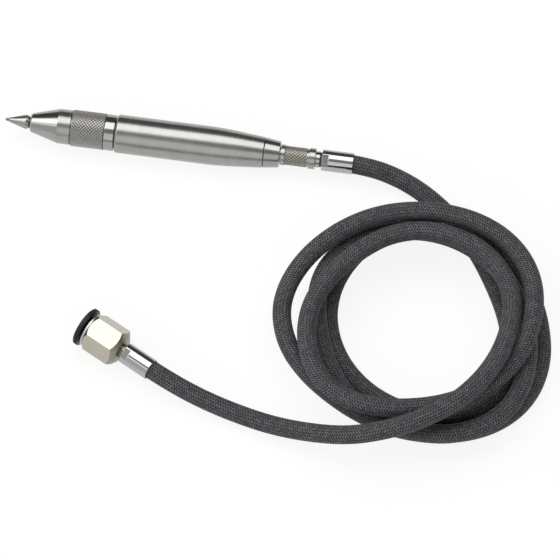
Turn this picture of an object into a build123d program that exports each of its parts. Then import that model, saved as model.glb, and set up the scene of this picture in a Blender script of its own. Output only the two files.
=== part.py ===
from build123d import *
import math
import os

# Pneumatic engraving pen with its braided air hose and push-in connector.
# Millimetres. The pen lies along X with its point towards -X and rests on its barrel, +Z up.

# Lengths along the pen, from the point of the tip backwards
tip_point = 0.55
tip_showing = 1.7
tip_shank_length = 4.0
stylus_cone_length = 7.6
stylus_land_length = 1.5
nose_gap = 0.6
nose_lip = 0.6
nose_cone_length = 12.0
nose_land_length = 5.8
nose_thread_length = 5.5
grip_seam = 0.5
grip_length = 14.6
ring_seam = 0.3
ring_length = 4.4
barrel_seam = 0.5
barrel_straight = 40.2
barrel_taper = 26.35
barrel_blend_length = 14.0
barrel_thread_length = 7.0
cap_seam = 0.55
cap_length = 6.7
cap_thread_length = 12.0
collar_seam = 0.4
collar_land = 1.9
collar_grip = 9.9
collar_neck = 0.9
collar_ring = 2.9
stop_seam = 0.3
stop_length = 1.8

# Radii of the pen's outside
tip_radius = 0.66
tip_end_radius = 0.3
tip_shank_radius = 0.6
stylus_front_radius = 1.0
stylus_land_radius = 3.3
stylus_back_radius = 2.7
nose_face_radius = 3.65
nose_front_radius = 4.3
nose_shoulder_radius = 7.75
nose_land_radius = 7.82
grip_radius = 8.15
ring_radius = 8.125
barrel_radius = 8.62
barrel_rear_radius = 6.875
cap_front_radius = 6.8
cap_rear_radius = 5.875
collar_land_radius = 4.65
collar_grip_radius = 4.25
collar_neck_radius = 4.05
collar_ring_radius = 4.7
stop_radius = 3.65
edge_break = 0.3

# Fits
thread_gap = 0.05
running_gap = 0.04
free_gap = 0.3
seat_gap = 0.1

# Impact parts inside the pen
shank_radius = 2.4
bush_wall = 0.8
bush_length = 7.0
stylus_collar_radius = 3.8
stylus_collar_length = 3.0
spring_length = 9.2
spring_wire_radius = 0.35
spring_wire_sides = 6
spring_turns = 5
grip_thread_radius = 6.15
grip_rear_thread_radius = 6.8
grip_web_end = 16.0
anvil_bush_radius = 4.5
anvil_standout = 3.0
sleeve_length = 34.2
sleeve_bore_radius = 4.02
sleeve_wall = 1.93
sleeve_port_radius = 0.9
sleeve_port_count = 4
sleeve_port_station = 14.0
piston_clearance = 6.0
piston_nose_radius = 2.5
piston_nose_length = 3.5
piston_body_length = 18.0
piston_groove_width = 0.8
piston_groove_depth = 0.35
piston_groove_setback = 2.5
back_plate_length = 3.0
back_plate_bore_radius = 1.2
back_plate_port_radius = 0.6
back_plate_port_circle = 3.0
back_plate_port_count = 6

# Air inlet and throttle
cap_thread_radius = 5.55
cap_seal_wire = 0.24
seal_sides = 8
stem_radius = 3.4
stem_reach = 10.7
stem_bore_radius = 1.6
stem_rear_bore_radius = 2.05
stem_end_radius = 2.6
stem_web = 4.0
stem_port_radius = 0.8
stem_port_setback = 1.2
throttle_seal_wire = 0.35
throttle_seal_setback = 1.7
throttle_groove_floor = 2.7
gallery_rise = 0.2
gallery_offset = 0.25

# Hose, its nipples and its ferrules
hose_radius = 4.2
hose_sides = 8
hose_setback = 4.1
hose_straight = 16.0
ferrule_radius = 4.8
ferrule_length = 14.0
ferrule_wall = 3.8
ferrule_flat_length = 2.9
ferrule_across_flats = 8.4
ferrule_flat_roll = 113.0
nipple_seam = 0.9
nipple_flange_radius = 3.3
nipple_neck_radius = 2.6
nipple_thread_radius = 2.0
nipple_thread_length = 6.2
nipple_bore_radius = 1.3
barb_count = 3
barb_pitch = 2.8
barb_valley_radius = 2.2
barb_crest_radius = 2.7

# Push-in connector, lengths from the outer face of its release ring
release_radius = 8.95
release_thickness = 2.2
release_travel_gap = 0.95
release_sleeve_radius = 5.0
release_sleeve_length = 7.0
cartridge_radius = 7.85
cartridge_band = 1.25
cartridge_body_radius = 6.4
cartridge_body_length = 5.6
hex_across_flats = 16.0
hex_length = 13.5
hex_roll = 6.5
hex_chamfer = 1.6
hex_chamfer_radius = 8.05
connector_cone_length = 2.6
connector_cone_radius = 5.9
tube_socket_radius = 4.1
tube_socket_length = 4.0
tube_way_radius = 4.2
seal_room_length = 2.4
seal_room_radius = 5.6
tube_seal_wire = 0.66
grip_ring_thickness = 0.6
grip_ring_rim = 0.5
grip_ring_slot_count = 12
grip_ring_slot_width = 0.8
end_seam = 1.7
end_thread_radius = 2.5
end_thread_length = 3.5
connector_heading = -27.5
connector_exit = (12.3, -112.0)

# Hose route. The coil's turns are set out from its middle, each as four sides in turn:
# right, far, left and near. A side gives its place to the right and away, its height,
# and, half way to the next side, the height and how far out of a quarter ellipse it lies.
# The tail and the lead are points in space.
coil_middle = (120.0, -69.5)
coil_roll = 8.2
coil_sides = [
    (45.0, -3.0, 23.0, 23.1, 0.0),
    (1.0, 34.2, 23.0, 23.2, 0.0),
    (-45.5, -12.0, 22.4, 22.8, 2.6),
    (-4.5, -50.7, 21.9, 19.3, 0.0),
    (54.8, 0.0, 23.8, 23.4, 0.0),
    (2.0, 44.8, 22.8, 22.5, -3.0),
    (-55.8, 0.0, 13.2, 13.1, -2.6),
    (11.0, -59.3, 13.8, 13.6, 1.5),
    (53.0, -15.5, 12.7, 13.4, 0.0),
    (2.0, 38.0, 14.9, 15.0, 0.0),
    (-42.3, 4.0, 13.4, 5.7, 1.4),
    (13.0, -55.5, 4.8, 4.6, 1.5),
    (58.5, -12.5, 4.8, 9.0, 0.0),
    (15.0, 48.4, 13.3, 5.2, 0.0),
    (-35.0, 1.0, 4.5, 4.3, 0.0),
    (12.5, -44.6, 4.3, 4.3, 0.0),
    (45.0, -12.5, 4.3, 4.3, 0.0),
]
tail_points = [
    (34.5, -120.0, 5.2),
    (52.5, -125.0, 4.3),
    (70.5, -129.0, 5.2),
    (89.0, -132.0, 10.5),
    (103.5, -134.0, 17.8),
    (117.0, -132.0, 23.0),
    (129.5, -127.5, 26.2),
    (142.0, -120.0, 28.5),
    (149.6, -113.1, 29.2),
    (157.0, -103.0, 29.4),
    (162.0, -91.5, 28.1),
    (164.5, -79.0, 25.4),
]
lead_points = [
    (162.0, -61.0, 4.3),
    (154.5, -46.5, 4.3),
    (145.0, -33.0, 4.3),
    (134.0, -21.0, 4.3),
    (122.0, -11.0, 4.3),
    (108.0, -3.0, 4.7),
]
corner_share = 0.45
gap_step = 2.0
gap_skip = 60.0

# Stations along the pen that follow from the lengths
stylus_land_end = tip_showing + stylus_cone_length + stylus_land_length
nose_start = stylus_land_end + nose_gap
nose_cone_end = nose_start + nose_lip + nose_cone_length
nose_end = nose_cone_end + nose_land_length
nose_thread_start = nose_end - nose_thread_length
grip_start = nose_end + grip_seam
grip_end = grip_start + grip_length
ring_start = grip_end + ring_seam
ring_end = ring_start + ring_length
barrel_start = ring_end + barrel_seam
taper_start = barrel_start + barrel_straight
barrel_end = taper_start + barrel_taper
cap_start = barrel_end + cap_seam
cap_end = cap_start + cap_length
collar_start = cap_end + collar_seam
collar_grip_start = collar_start + collar_land
collar_grip_end = collar_grip_start + collar_grip
collar_ring_start = collar_grip_end + collar_neck
collar_end = collar_ring_start + collar_ring
stop_start = collar_end + stop_seam
pen_length = stop_start + stop_length
ferrule_start = pen_length + nipple_seam

bush_start = nose_start + nose_lip
bush_end = bush_start + bush_length
bush_radius = shank_radius + bush_wall
spring_start = bush_end + seat_gap
stylus_collar_start = spring_start + spring_length + seat_gap
stylus_collar_end = stylus_collar_start + stylus_collar_length
chamber_radius = stylus_collar_radius + free_gap
grip_stop = stylus_collar_end + seat_gap
web_end = grip_start + grip_web_end
grip_tail_end = barrel_start + barrel_thread_length
sleeve_start = grip_tail_end + free_gap
sleeve_end = sleeve_start + sleeve_length
sleeve_radius = sleeve_bore_radius + sleeve_wall
anvil_end = sleeve_start + anvil_standout
piston_start = anvil_end + piston_clearance
piston_body_start = piston_start + piston_nose_length
piston_end = piston_body_start + piston_body_length
piston_radius = sleeve_bore_radius - running_gap
plate_end = sleeve_end + back_plate_length
stem_start = cap_start - stem_reach
stem_web_middle = (collar_grip_start + collar_grip_end) / 2
stem_web_start = stem_web_middle - stem_web / 2
stem_web_end = stem_web_middle + stem_web / 2
front_seal = collar_start + throttle_seal_setback
rear_seal = collar_end - throttle_seal_setback
collar_bore_radius = stem_radius + running_gap

# Stations along the connector
cartridge_start = release_thickness + release_travel_gap
hex_start = cartridge_start + cartridge_band
hex_end = hex_start + hex_length
connector_end = hex_end + connector_cone_length
cartridge_end = hex_start + cartridge_body_length
seal_room_end = cartridge_end + seal_room_length + free_gap
socket_end = seal_room_end + tube_socket_length
end_ferrule_start = connector_end + end_seam
connector_length = end_ferrule_start + ferrule_length


def axis_frame(origin, heading):
    """A frame whose x axis runs level along a heading and whose y axis points up."""
    turn = math.radians(heading)
    along = Vector(math.cos(turn), math.sin(turn), 0)
    return Plane(origin=origin, x_dir=along, z_dir=along.cross(Vector(0, 0, 1)))


def station_point(frame, station):
    return frame.from_local_coords(Vector(station, 0, 0))


def across(frame, station):
    """The plane across a frame's axis at a station, with its y axis up."""
    return Plane(origin=station_point(frame, station), x_dir=-frame.z_dir, z_dir=frame.x_dir)


def axis_of(frame):
    return Axis(frame.origin, frame.x_dir)


exit_x, exit_y = connector_exit
exit_frame = axis_frame((exit_x, exit_y, release_radius), connector_heading)
connector = axis_frame(station_point(exit_frame, -connector_length), connector_heading)
pen = axis_frame((-pen_length / 2, 0, barrel_radius), 0)


def turning(frame, outline):
    """A solid turned about a frame's x axis from an outline of stations and radii."""
    with BuildPart(mode=Mode.PRIVATE) as blank:
        with BuildSketch(frame):
            with BuildLine():
                Polyline(*outline, close=True)
            make_face()
        revolve(axis=axis_of(frame))
    return blank.part


def tube_outline(start, end, inner, outer):
    return [(start, inner), (end, inner), (end, outer), (start, outer)]


def wire_ring(frame, station, middle_radius, wire):
    """A seal ring: a section of the wire's radius, with a few sides, turned about the frame's axis."""
    with BuildPart(mode=Mode.PRIVATE) as seal:
        with BuildSketch(frame):
            with Locations((station, middle_radius)):
                RegularPolygon(wire, seal_sides)
        revolve(axis=axis_of(frame))
    return seal.part


def save(piece, label):
    piece.label = label
    export_step(piece, f"parts/{label}.step")


os.makedirs("parts", exist_ok=True)

# Carbide tip, with its shank in the stylus
tip_outline = [
    (0, 0),
    (0, tip_end_radius),
    (tip_point, tip_radius),
    (tip_showing, tip_radius),
    (tip_showing, tip_shank_radius),
    (tip_showing + tip_shank_length, tip_shank_radius),
    (tip_showing + tip_shank_length, 0),
]
with BuildPart() as carbide_tip:
    add(turning(pen, tip_outline))
save(carbide_tip.part, "carbide_tip")

# Stylus: cone, shoulder, guided shank with its return collar, and the anvil end that is struck
tip_bore_radius = tip_shank_radius + thread_gap
tip_bore_end = tip_showing + tip_shank_length + thread_gap
stylus_outline = [
    (tip_showing, tip_bore_radius),
    (tip_showing, stylus_front_radius),
    (tip_showing + stylus_cone_length, stylus_land_radius),
    (stylus_land_end, stylus_back_radius),
    (stylus_land_end, shank_radius),
    (stylus_collar_start, shank_radius),
    (stylus_collar_start, stylus_collar_radius),
    (stylus_collar_end, stylus_collar_radius),
    (stylus_collar_end, shank_radius),
    (anvil_end - edge_break, shank_radius),
    (anvil_end, shank_radius - edge_break),
    (anvil_end, 0),
    (tip_bore_end, 0),
    (tip_bore_end, tip_bore_radius),
]
with BuildPart() as stylus:
    add(turning(pen, stylus_outline))
save(stylus.part, "stylus")

# Nose cone: pointed shell that holds the guide bush and screws onto the grip
nose_outline = [
    (nose_start, shank_radius + free_gap),
    (nose_start, nose_face_radius),
    (bush_start, nose_front_radius),
    (nose_cone_end, nose_shoulder_radius),
    (nose_end - edge_break, nose_land_radius),
    (nose_end, nose_land_radius - edge_break),
    (nose_end, grip_thread_radius + thread_gap),
    (nose_thread_start, grip_thread_radius + thread_gap),
    (nose_thread_start, chamber_radius),
    (bush_end, chamber_radius),
    (bush_end, bush_radius + thread_gap),
    (bush_start, bush_radius + thread_gap),
    (bush_start, shank_radius + free_gap),
]
with BuildPart() as nose_cone:
    add(turning(pen, nose_outline))
save(nose_cone.part, "nose_cone")

# Bush that guides the front of the stylus
with BuildPart() as nose_bush:
    add(turning(pen, tube_outline(bush_start, bush_end, shank_radius + running_gap, bush_radius)))
save(nose_bush.part, "nose_bush")


def biarc_joint(start, start_heading, end, end_heading):
    """Where the two arcs of a biarc meet, for equal tangent lengths."""
    chord = end - start
    both = start_heading + end_heading
    spread = 2 * (1 - start_heading.dot(end_heading))
    lean = chord.dot(both)
    tangent_length = (math.sqrt(lean**2 + spread * chord.dot(chord)) - lean) / spread
    return (start + start_heading * tangent_length + end - end_heading * tangent_length) / 2


def draw_biarcs(points, headings):
    """Pairs of tangent arcs from point to point, drawn in the line that is being built."""
    for index in range(len(points) - 1):
        start, end = points[index], points[index + 1]
        joint = biarc_joint(start, headings[index], end, headings[index + 1])
        first = TangentArc(start, joint, tangent=headings[index])
        TangentArc(joint, end, tangent=first % 1)


# Return spring between the bush and the stylus collar
spring_radius = shank_radius + 2 * free_gap + spring_wire_radius
spring_quarters = 4 * spring_turns
spring_rise = (spring_length - 2 * spring_wire_radius) / spring_quarters
spring_quarter_arc = spring_radius * math.pi / 2
spring_points = []
spring_headings = []
for quarter in range(spring_quarters + 1):
    turn = math.radians(90 * quarter)
    station = spring_start + spring_wire_radius + quarter * spring_rise
    spoke = Vector(station, spring_radius * math.cos(turn), spring_radius * math.sin(turn))
    onward = Vector(
        spring_rise, -spring_quarter_arc * math.sin(turn), spring_quarter_arc * math.cos(turn)
    )
    spring_points.append(pen.from_local_coords(spoke))
    spring_headings.append((pen.from_local_coords(onward) - pen.origin).normalized())
with BuildPart() as stylus_spring:
    with BuildLine():
        draw_biarcs(spring_points, spring_headings)
    with BuildSketch(Plane(origin=spring_points[0], z_dir=spring_headings[0])):
        RegularPolygon(spring_wire_radius, spring_wire_sides)
    sweep()
save(stylus_spring.part, "stylus_spring")

# Knurled grip: front spigot in the nose, web that stops the stylus, rear spigot in the barrel
grip_outline = [
    (nose_thread_start + free_gap, chamber_radius),
    (nose_thread_start + free_gap, grip_thread_radius),
    (grip_start, grip_thread_radius),
    (grip_start, grip_radius - edge_break),
    (grip_start + edge_break, grip_radius),
    (grip_end - edge_break, grip_radius),
    (grip_end, grip_radius - edge_break),
    (grip_end, grip_rear_thread_radius),
    (grip_tail_end, grip_rear_thread_radius),
    (grip_tail_end, anvil_bush_radius + thread_gap),
    (web_end, anvil_bush_radius + thread_gap),
    (web_end, shank_radius + free_gap),
    (grip_stop, shank_radius + free_gap),
    (grip_stop, chamber_radius),
]
with BuildPart() as knurled_grip:
    add(turning(pen, grip_outline))
save(knurled_grip.part, "knurled_grip")

# Bush that guides the struck end of the stylus
with BuildPart() as anvil_bush:
    add(turning(pen, tube_outline(web_end, grip_tail_end, shank_radius + running_gap, anvil_bush_radius)))
save(anvil_bush.part, "anvil_bush")

# Lock ring between the grip and the barrel
barrel_thread_radius = grip_rear_thread_radius + thread_gap
ring_outline = [
    (ring_start, barrel_thread_radius),
    (ring_start, ring_radius - edge_break),
    (ring_start + edge_break, ring_radius),
    (ring_end - edge_break, ring_radius),
    (ring_end, ring_radius - edge_break),
    (ring_end, barrel_thread_radius),
]
with BuildPart() as lock_ring:
    add(turning(pen, ring_outline))
save(lock_ring.part, "lock_ring")

# Barrel: straight, then eased into a taper; bored for the cylinder and threaded at both ends
cylinder_room_radius = sleeve_radius + thread_gap
barrel_rear_bore = cap_thread_radius + thread_gap
barrel_fall = barrel_radius - barrel_rear_radius
blend_fall = barrel_fall * barrel_blend_length / (2 * barrel_taper - barrel_blend_length)
with BuildPart() as barrel:
    with BuildSketch(pen):
        with BuildLine():
            Polyline(
                (plate_end + thread_gap, barrel_rear_bore),
                (plate_end + thread_gap, cylinder_room_radius),
                (grip_tail_end + thread_gap, cylinder_room_radius),
                (grip_tail_end + thread_gap, barrel_thread_radius),
                (barrel_start, barrel_thread_radius),
                (barrel_start, barrel_radius - 2 * edge_break),
                (barrel_start + 2 * edge_break, barrel_radius),
                (taper_start, barrel_radius),
            )
            blend_end = (taper_start + barrel_blend_length, barrel_radius - blend_fall)
            TangentArc((taper_start, barrel_radius), blend_end, tangent=(1, 0))
            Polyline(
                blend_end,
                (barrel_end, barrel_rear_radius),
                (barrel_end, barrel_rear_bore),
                (plate_end + thread_gap, barrel_rear_bore),
            )
        make_face()
    revolve(axis=axis_of(pen))
save(barrel.part, "barrel")

# Cylinder sleeve with its ring of exhaust ports
port_section = across(pen, sleeve_start + sleeve_port_station)
with BuildPart() as cylinder_sleeve:
    add(turning(pen, tube_outline(sleeve_start, sleeve_end, sleeve_bore_radius, sleeve_radius)))
    for port in range(sleeve_port_count):
        port_turn = math.radians(360 / sleeve_port_count * port)
        spoke = port_section.x_dir * math.cos(port_turn) + port_section.y_dir * math.sin(port_turn)
        with BuildSketch(Plane(origin=port_section.origin, x_dir=pen.x_dir, z_dir=spoke)):
            Circle(sleeve_port_radius)
        extrude(amount=2 * sleeve_radius, mode=Mode.SUBTRACT)
save(cylinder_sleeve.part, "cylinder_sleeve")

# Piston: the hammer, with a striking nose and two oil grooves
groove_floor = piston_radius - piston_groove_depth
front_groove = piston_body_start + piston_groove_setback
rear_groove = piston_end - piston_groove_setback - piston_groove_width
piston_outline = [
    (piston_start, 0),
    (piston_start, piston_nose_radius - edge_break),
    (piston_start + edge_break, piston_nose_radius),
    (piston_body_start, piston_nose_radius),
    (piston_body_start, piston_radius - edge_break),
    (piston_body_start + edge_break, piston_radius),
    (front_groove, piston_radius),
    (front_groove, groove_floor),
    (front_groove + piston_groove_width, groove_floor),
    (front_groove + piston_groove_width, piston_radius),
    (rear_groove, piston_radius),
    (rear_groove, groove_floor),
    (rear_groove + piston_groove_width, groove_floor),
    (rear_groove + piston_groove_width, piston_radius),
    (piston_end - edge_break, piston_radius),
    (piston_end, piston_radius - edge_break),
    (piston_end, 0),
]
with BuildPart() as piston:
    add(turning(pen, piston_outline))
save(piston.part, "piston")

# Back plate that closes the cylinder, with the holes that feed it
with BuildPart() as back_plate:
    with BuildSketch(across(pen, sleeve_end)):
        Circle(sleeve_radius)
        Circle(back_plate_bore_radius, mode=Mode.SUBTRACT)
        with PolarLocations(back_plate_port_circle, back_plate_port_count):
            Circle(back_plate_port_radius, mode=Mode.SUBTRACT)
    extrude(amount=back_plate_length)
save(back_plate.part, "back_plate")

# Rear cap: tapered, with a long spigot in the barrel
cap_outline = [
    (barrel_end - cap_thread_length, stem_radius + thread_gap),
    (barrel_end - cap_thread_length, cap_thread_radius),
    (cap_start, cap_thread_radius),
    (cap_start, cap_front_radius),
    (cap_end - edge_break, cap_rear_radius),
    (cap_end, cap_rear_radius - edge_break),
    (cap_end, stem_radius + thread_gap),
]
with BuildPart() as rear_cap:
    add(turning(pen, cap_outline))
save(rear_cap.part, "rear_cap")

# Seal in the seam between the barrel and the cap
with BuildPart() as rear_cap_o_ring:
    cap_seal_ring = cap_thread_radius + cap_seal_wire + thread_gap
    add(wire_ring(pen, (barrel_end + cap_start) / 2, cap_seal_ring, cap_seal_wire))
save(rear_cap_o_ring.part, "rear_cap_o_ring")

# Inlet stem: air comes in at the rear bore, through the throttle and on by the front bore
throttle_groove_half = throttle_seal_wire + seat_gap
stem_outline = [
    (stem_start, stem_bore_radius),
    (stem_start, stem_radius),
    (front_seal - throttle_groove_half, stem_radius),
    (front_seal - throttle_groove_half, throttle_groove_floor),
    (front_seal + throttle_groove_half, throttle_groove_floor),
    (front_seal + throttle_groove_half, stem_radius),
    (rear_seal - throttle_groove_half, stem_radius),
    (rear_seal - throttle_groove_half, throttle_groove_floor),
    (rear_seal + throttle_groove_half, throttle_groove_floor),
    (rear_seal + throttle_groove_half, stem_radius),
    (stop_start, stem_radius),
    (stop_start, stem_end_radius),
    (pen_length, stem_end_radius),
    (pen_length, stem_rear_bore_radius),
    (stem_web_end, stem_rear_bore_radius),
    (stem_web_end, 0),
    (stem_web_start, 0),
    (stem_web_start, stem_bore_radius),
]
with BuildPart() as inlet_stem:
    add(turning(pen, stem_outline))
    for port_station in (stem_web_start - stem_port_setback, stem_web_end + stem_port_setback):
        with BuildSketch(Plane(origin=station_point(pen, port_station), x_dir=pen.x_dir, z_dir=(0, 0, 1))):
            Circle(stem_port_radius)
        extrude(amount=2 * stem_radius, mode=Mode.SUBTRACT)
save(inlet_stem.part, "inlet_stem")

# Throttle collar: turned by hand, its off-centre gallery opens and closes the stem's ports
collar_outline = [
    (collar_start, collar_bore_radius),
    (collar_start, collar_land_radius - edge_break),
    (collar_start + edge_break, collar_land_radius),
    (collar_grip_start - edge_break, collar_land_radius),
    (collar_grip_start, collar_grip_radius),
    (collar_grip_end, collar_grip_radius),
    (collar_grip_end, collar_neck_radius),
    (collar_ring_start, collar_neck_radius),
    (collar_ring_start, collar_ring_radius - edge_break),
    (collar_ring_start + edge_break, collar_ring_radius),
    (collar_end - edge_break, collar_ring_radius),
    (collar_end, collar_ring_radius - edge_break),
    (collar_end, collar_bore_radius),
]
gallery_length = stem_web + 2 * (stem_port_setback + stem_port_radius + free_gap)
with BuildPart() as throttle_collar:
    add(turning(pen, collar_outline))
    with BuildSketch(across(pen, stem_web_middle)):
        with Locations((0, gallery_offset)):
            Circle(collar_bore_radius + gallery_rise)
    extrude(amount=gallery_length / 2, both=True, mode=Mode.SUBTRACT)
save(throttle_collar.part, "throttle_collar")

# Two seals between the stem and the throttle collar
with BuildPart() as throttle_seals:
    throttle_seal_ring = (throttle_groove_floor + collar_bore_radius) / 2
    for seal_station in (front_seal, rear_seal):
        add(wire_ring(pen, seal_station, throttle_seal_ring, throttle_seal_wire))
save(throttle_seals.part, "throttle_seals")

# Ring that keeps the throttle collar on the stem
with BuildPart() as stop_ring:
    add(turning(pen, tube_outline(stop_start, pen_length, stem_end_radius + thread_gap, stop_radius)))
save(stop_ring.part, "stop_ring")


def nipple_outline(face, wall_start, thread_radius, thread_length):
    """Barbed nipple: thread, flange against a face, neck through the ferrule's wall, barbs."""
    barbs_start = wall_start + hose_setback
    outline = [
        (face - thread_length, nipple_bore_radius),
        (face - thread_length, thread_radius),
        (face + thread_gap, thread_radius),
        (face + thread_gap, nipple_flange_radius),
        (wall_start - thread_gap, nipple_flange_radius),
        (wall_start - thread_gap, nipple_neck_radius),
        (barbs_start, nipple_neck_radius),
    ]
    for barb in range(barb_count):
        crest = barbs_start + barb * barb_pitch
        outline += [(crest, barb_crest_radius), (crest + barb_pitch, barb_valley_radius)]
    return outline + [(barbs_start + barb_count * barb_pitch, nipple_bore_radius)]


def ferrule(frame, start):
    """Crimp ferrule: a wall round the nipple's neck, a room for the hose, two wrench flats."""
    wall_end = start + ferrule_wall
    end = start + ferrule_length
    outline = [
        (start, nipple_neck_radius + thread_gap),
        (start, ferrule_radius - edge_break),
        (start + edge_break, ferrule_radius),
        (end - edge_break, ferrule_radius),
        (end, ferrule_radius - edge_break),
        (end, hose_radius + thread_gap),
        (wall_end, hose_radius + thread_gap),
        (wall_end, nipple_neck_radius + thread_gap),
    ]
    flat_depth = ferrule_radius - ferrule_across_flats / 2
    with BuildPart(mode=Mode.PRIVATE) as crimp:
        add(turning(frame, outline))
        with BuildSketch(across(frame, start)):
            with PolarLocations(ferrule_radius, 2, start_angle=ferrule_flat_roll):
                Rectangle(2 * flat_depth, 2 * ferrule_radius)
        extrude(amount=ferrule_flat_length, mode=Mode.SUBTRACT)
    return crimp.part


# Pen end of the hose: nipple in the inlet stem and its ferrule
with BuildPart() as hose_nipple:
    add(turning(pen, nipple_outline(pen_length, ferrule_start, nipple_thread_radius, nipple_thread_length)))
save(hose_nipple.part, "hose_nipple")

with BuildPart() as pen_ferrule:
    add(ferrule(pen, ferrule_start))
save(pen_ferrule.part, "pen_ferrule")

# Connector end of the hose: nipple in the connector body and its ferrule
with BuildPart() as end_nipple:
    end_outline = nipple_outline(connector_end, end_ferrule_start, end_thread_radius, end_thread_length)
    add(turning(connector, end_outline))
save(end_nipple.part, "end_nipple")

with BuildPart() as end_ferrule:
    add(ferrule(connector, end_ferrule_start))
save(end_ferrule.part, "end_ferrule")

# Connector body: hexagon with chamfered corners, coned at the hose end and bored for the tube
hex_corner_radius = hex_across_flats / math.sqrt(3) + edge_break
hex_limit_outline = [
    (hex_start, 0),
    (hex_start, hex_chamfer_radius),
    (hex_start + hex_chamfer, hex_corner_radius),
    (hex_end, hex_corner_radius),
    (connector_end, connector_cone_radius),
    (connector_end, 0),
]
body_bore_outline = [
    (hex_start, 0),
    (hex_start, cartridge_body_radius + thread_gap),
    (cartridge_end + thread_gap, cartridge_body_radius + thread_gap),
    (cartridge_end + thread_gap, seal_room_radius),
    (seal_room_end, seal_room_radius),
    (seal_room_end, tube_socket_radius),
    (socket_end, tube_socket_radius),
    (socket_end, end_thread_radius + thread_gap),
    (connector_end, end_thread_radius + thread_gap),
    (connector_end, 0),
]
with BuildPart() as connector_body:
    with BuildSketch(across(connector, hex_start)):
        RegularPolygon(hex_across_flats / 2, 6, major_radius=False, rotation=hex_roll)
    extrude(amount=connector_end - hex_start)
    add(turning(connector, hex_limit_outline), mode=Mode.INTERSECT)
    add(turning(connector, body_bore_outline), mode=Mode.SUBTRACT)
save(connector_body.part, "connector_body")

# Cartridge sleeve pressed into the body, with the bright band that shows beside the hexagon
cartridge_bore = release_sleeve_radius + running_gap
cartridge_outline = [
    (cartridge_start, cartridge_bore),
    (cartridge_start, cartridge_radius - edge_break),
    (cartridge_start + edge_break, cartridge_radius),
    (hex_start - thread_gap, cartridge_radius),
    (hex_start - thread_gap, cartridge_body_radius),
    (cartridge_end, cartridge_body_radius),
    (cartridge_end, cartridge_bore),
]
with BuildPart() as collet_sleeve:
    add(turning(connector, cartridge_outline))
save(collet_sleeve.part, "collet_sleeve")

# Release ring: a flange to press and a sleeve that opens the grip ring
release_end = release_thickness + release_sleeve_length
release_outline = [
    (0, tube_way_radius + edge_break),
    (0, release_radius - edge_break),
    (edge_break, release_radius),
    (release_thickness - edge_break, release_radius),
    (release_thickness, release_radius - edge_break),
    (release_thickness, release_sleeve_radius),
    (release_end, release_sleeve_radius),
    (release_end, tube_way_radius),
    (edge_break, tube_way_radius),
]
with BuildPart() as release_ring:
    add(turning(connector, release_outline))
save(release_ring.part, "release_ring")

# Grip ring: thin toothed ring that bites the tube
grip_ring_start = cartridge_end + seat_gap
grip_ring_radius = seal_room_radius - thread_gap
grip_ring_bore = tube_socket_radius + thread_gap
grip_ring_slot = grip_ring_radius - grip_ring_rim - grip_ring_bore
with BuildPart() as grip_ring:
    with BuildSketch(across(connector, grip_ring_start)):
        Circle(grip_ring_radius)
        Circle(grip_ring_bore, mode=Mode.SUBTRACT)
        with PolarLocations(grip_ring_bore, grip_ring_slot_count):
            Rectangle(2 * grip_ring_slot, grip_ring_slot_width, mode=Mode.SUBTRACT)
    extrude(amount=grip_ring_thickness)
save(grip_ring.part, "grip_ring")

# Seal round the tube
tube_seal_station = grip_ring_start + grip_ring_thickness + seat_gap + tube_seal_wire
tube_seal_ring = seal_room_radius - thread_gap - tube_seal_wire
with BuildPart() as tube_seal:
    add(wire_ring(connector, tube_seal_station, tube_seal_ring, tube_seal_wire))
save(tube_seal.part, "tube_seal")


def coil_point(right, away, height):
    turn = math.radians(coil_roll)
    x = coil_middle[0] + right * math.cos(turn) - away * math.sin(turn)
    y = coil_middle[1] + right * math.sin(turn) + away * math.cos(turn)
    return Vector(x, y, height)


def coil_route():
    """The coil's points: each side, and the middle of the quarter ellipse to the next side."""
    points = []
    middle_share = math.sqrt(0.5)
    for index, (right, away, height, middle_height, outwards) in enumerate(coil_sides[:-1]):
        next_right, next_away = coil_sides[index + 1][:2]
        points.append(coil_point(right, away, height))
        if index % 2 == 0:
            middle_right = next_right + (right - next_right) * middle_share
            middle_away = away + (next_away - away) * middle_share
        else:
            middle_right = right + (next_right - right) * middle_share
            middle_away = next_away + (away - next_away) * middle_share
        stretch = 1 + outwards / math.hypot(middle_right, middle_away)
        points.append(coil_point(middle_right * stretch, middle_away * stretch, middle_height))
    return points + [coil_point(*coil_sides[-1][:3])]


def corner_radii(points):
    """The largest radius that each corner's shorter run allows."""
    radii = []
    for before, corner, after in zip(points, points[1:], points[2:]):
        run_in, run_out = corner - before, after - corner
        half_turn = math.radians(run_in.get_angle(run_out)) / 2
        shorter = min(run_in.length, run_out.length)
        radii.append(corner_share * shorter / math.tan(half_turn))
    return radii


def heading_of(start, end):
    return (end - start).normalized()


coil = coil_route()
tail_start = end_ferrule_start + hose_setback
tail = [station_point(connector, tail_start), station_point(connector, tail_start + hose_straight)]
tail += [Vector(point) for point in tail_points] + [coil[0]]
lead_start = ferrule_start + hose_setback
lead = [coil[-1]] + [Vector(point) for point in lead_points]
lead += [station_point(pen, lead_start + hose_straight), station_point(pen, lead_start)]
coil_headings = [heading_of(tail[-2], tail[-1])]
coil_headings += [heading_of(before, after) for before, after in zip(coil, coil[2:])]
coil_headings.append(heading_of(lead[0], lead[1]))
hose_bore_depth = barb_count * barb_pitch + free_gap
hose_bore_radius = barb_crest_radius + seat_gap

# Hose from the connector to the coil, opened at its end for the barbs
with BuildPart() as hose_tail:
    with BuildLine() as tail_line:
        FilletPolyline(*tail, radius=corner_radii(tail))
    with BuildSketch(Plane(origin=tail[0], z_dir=connector.x_dir)):
        RegularPolygon(hose_radius, hose_sides)
    sweep()
    tail_bore = tube_outline(tail_start, tail_start + hose_bore_depth, 0, hose_bore_radius)
    add(turning(connector, tail_bore), mode=Mode.SUBTRACT)
save(hose_tail.part, "hose_tail")

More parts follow.
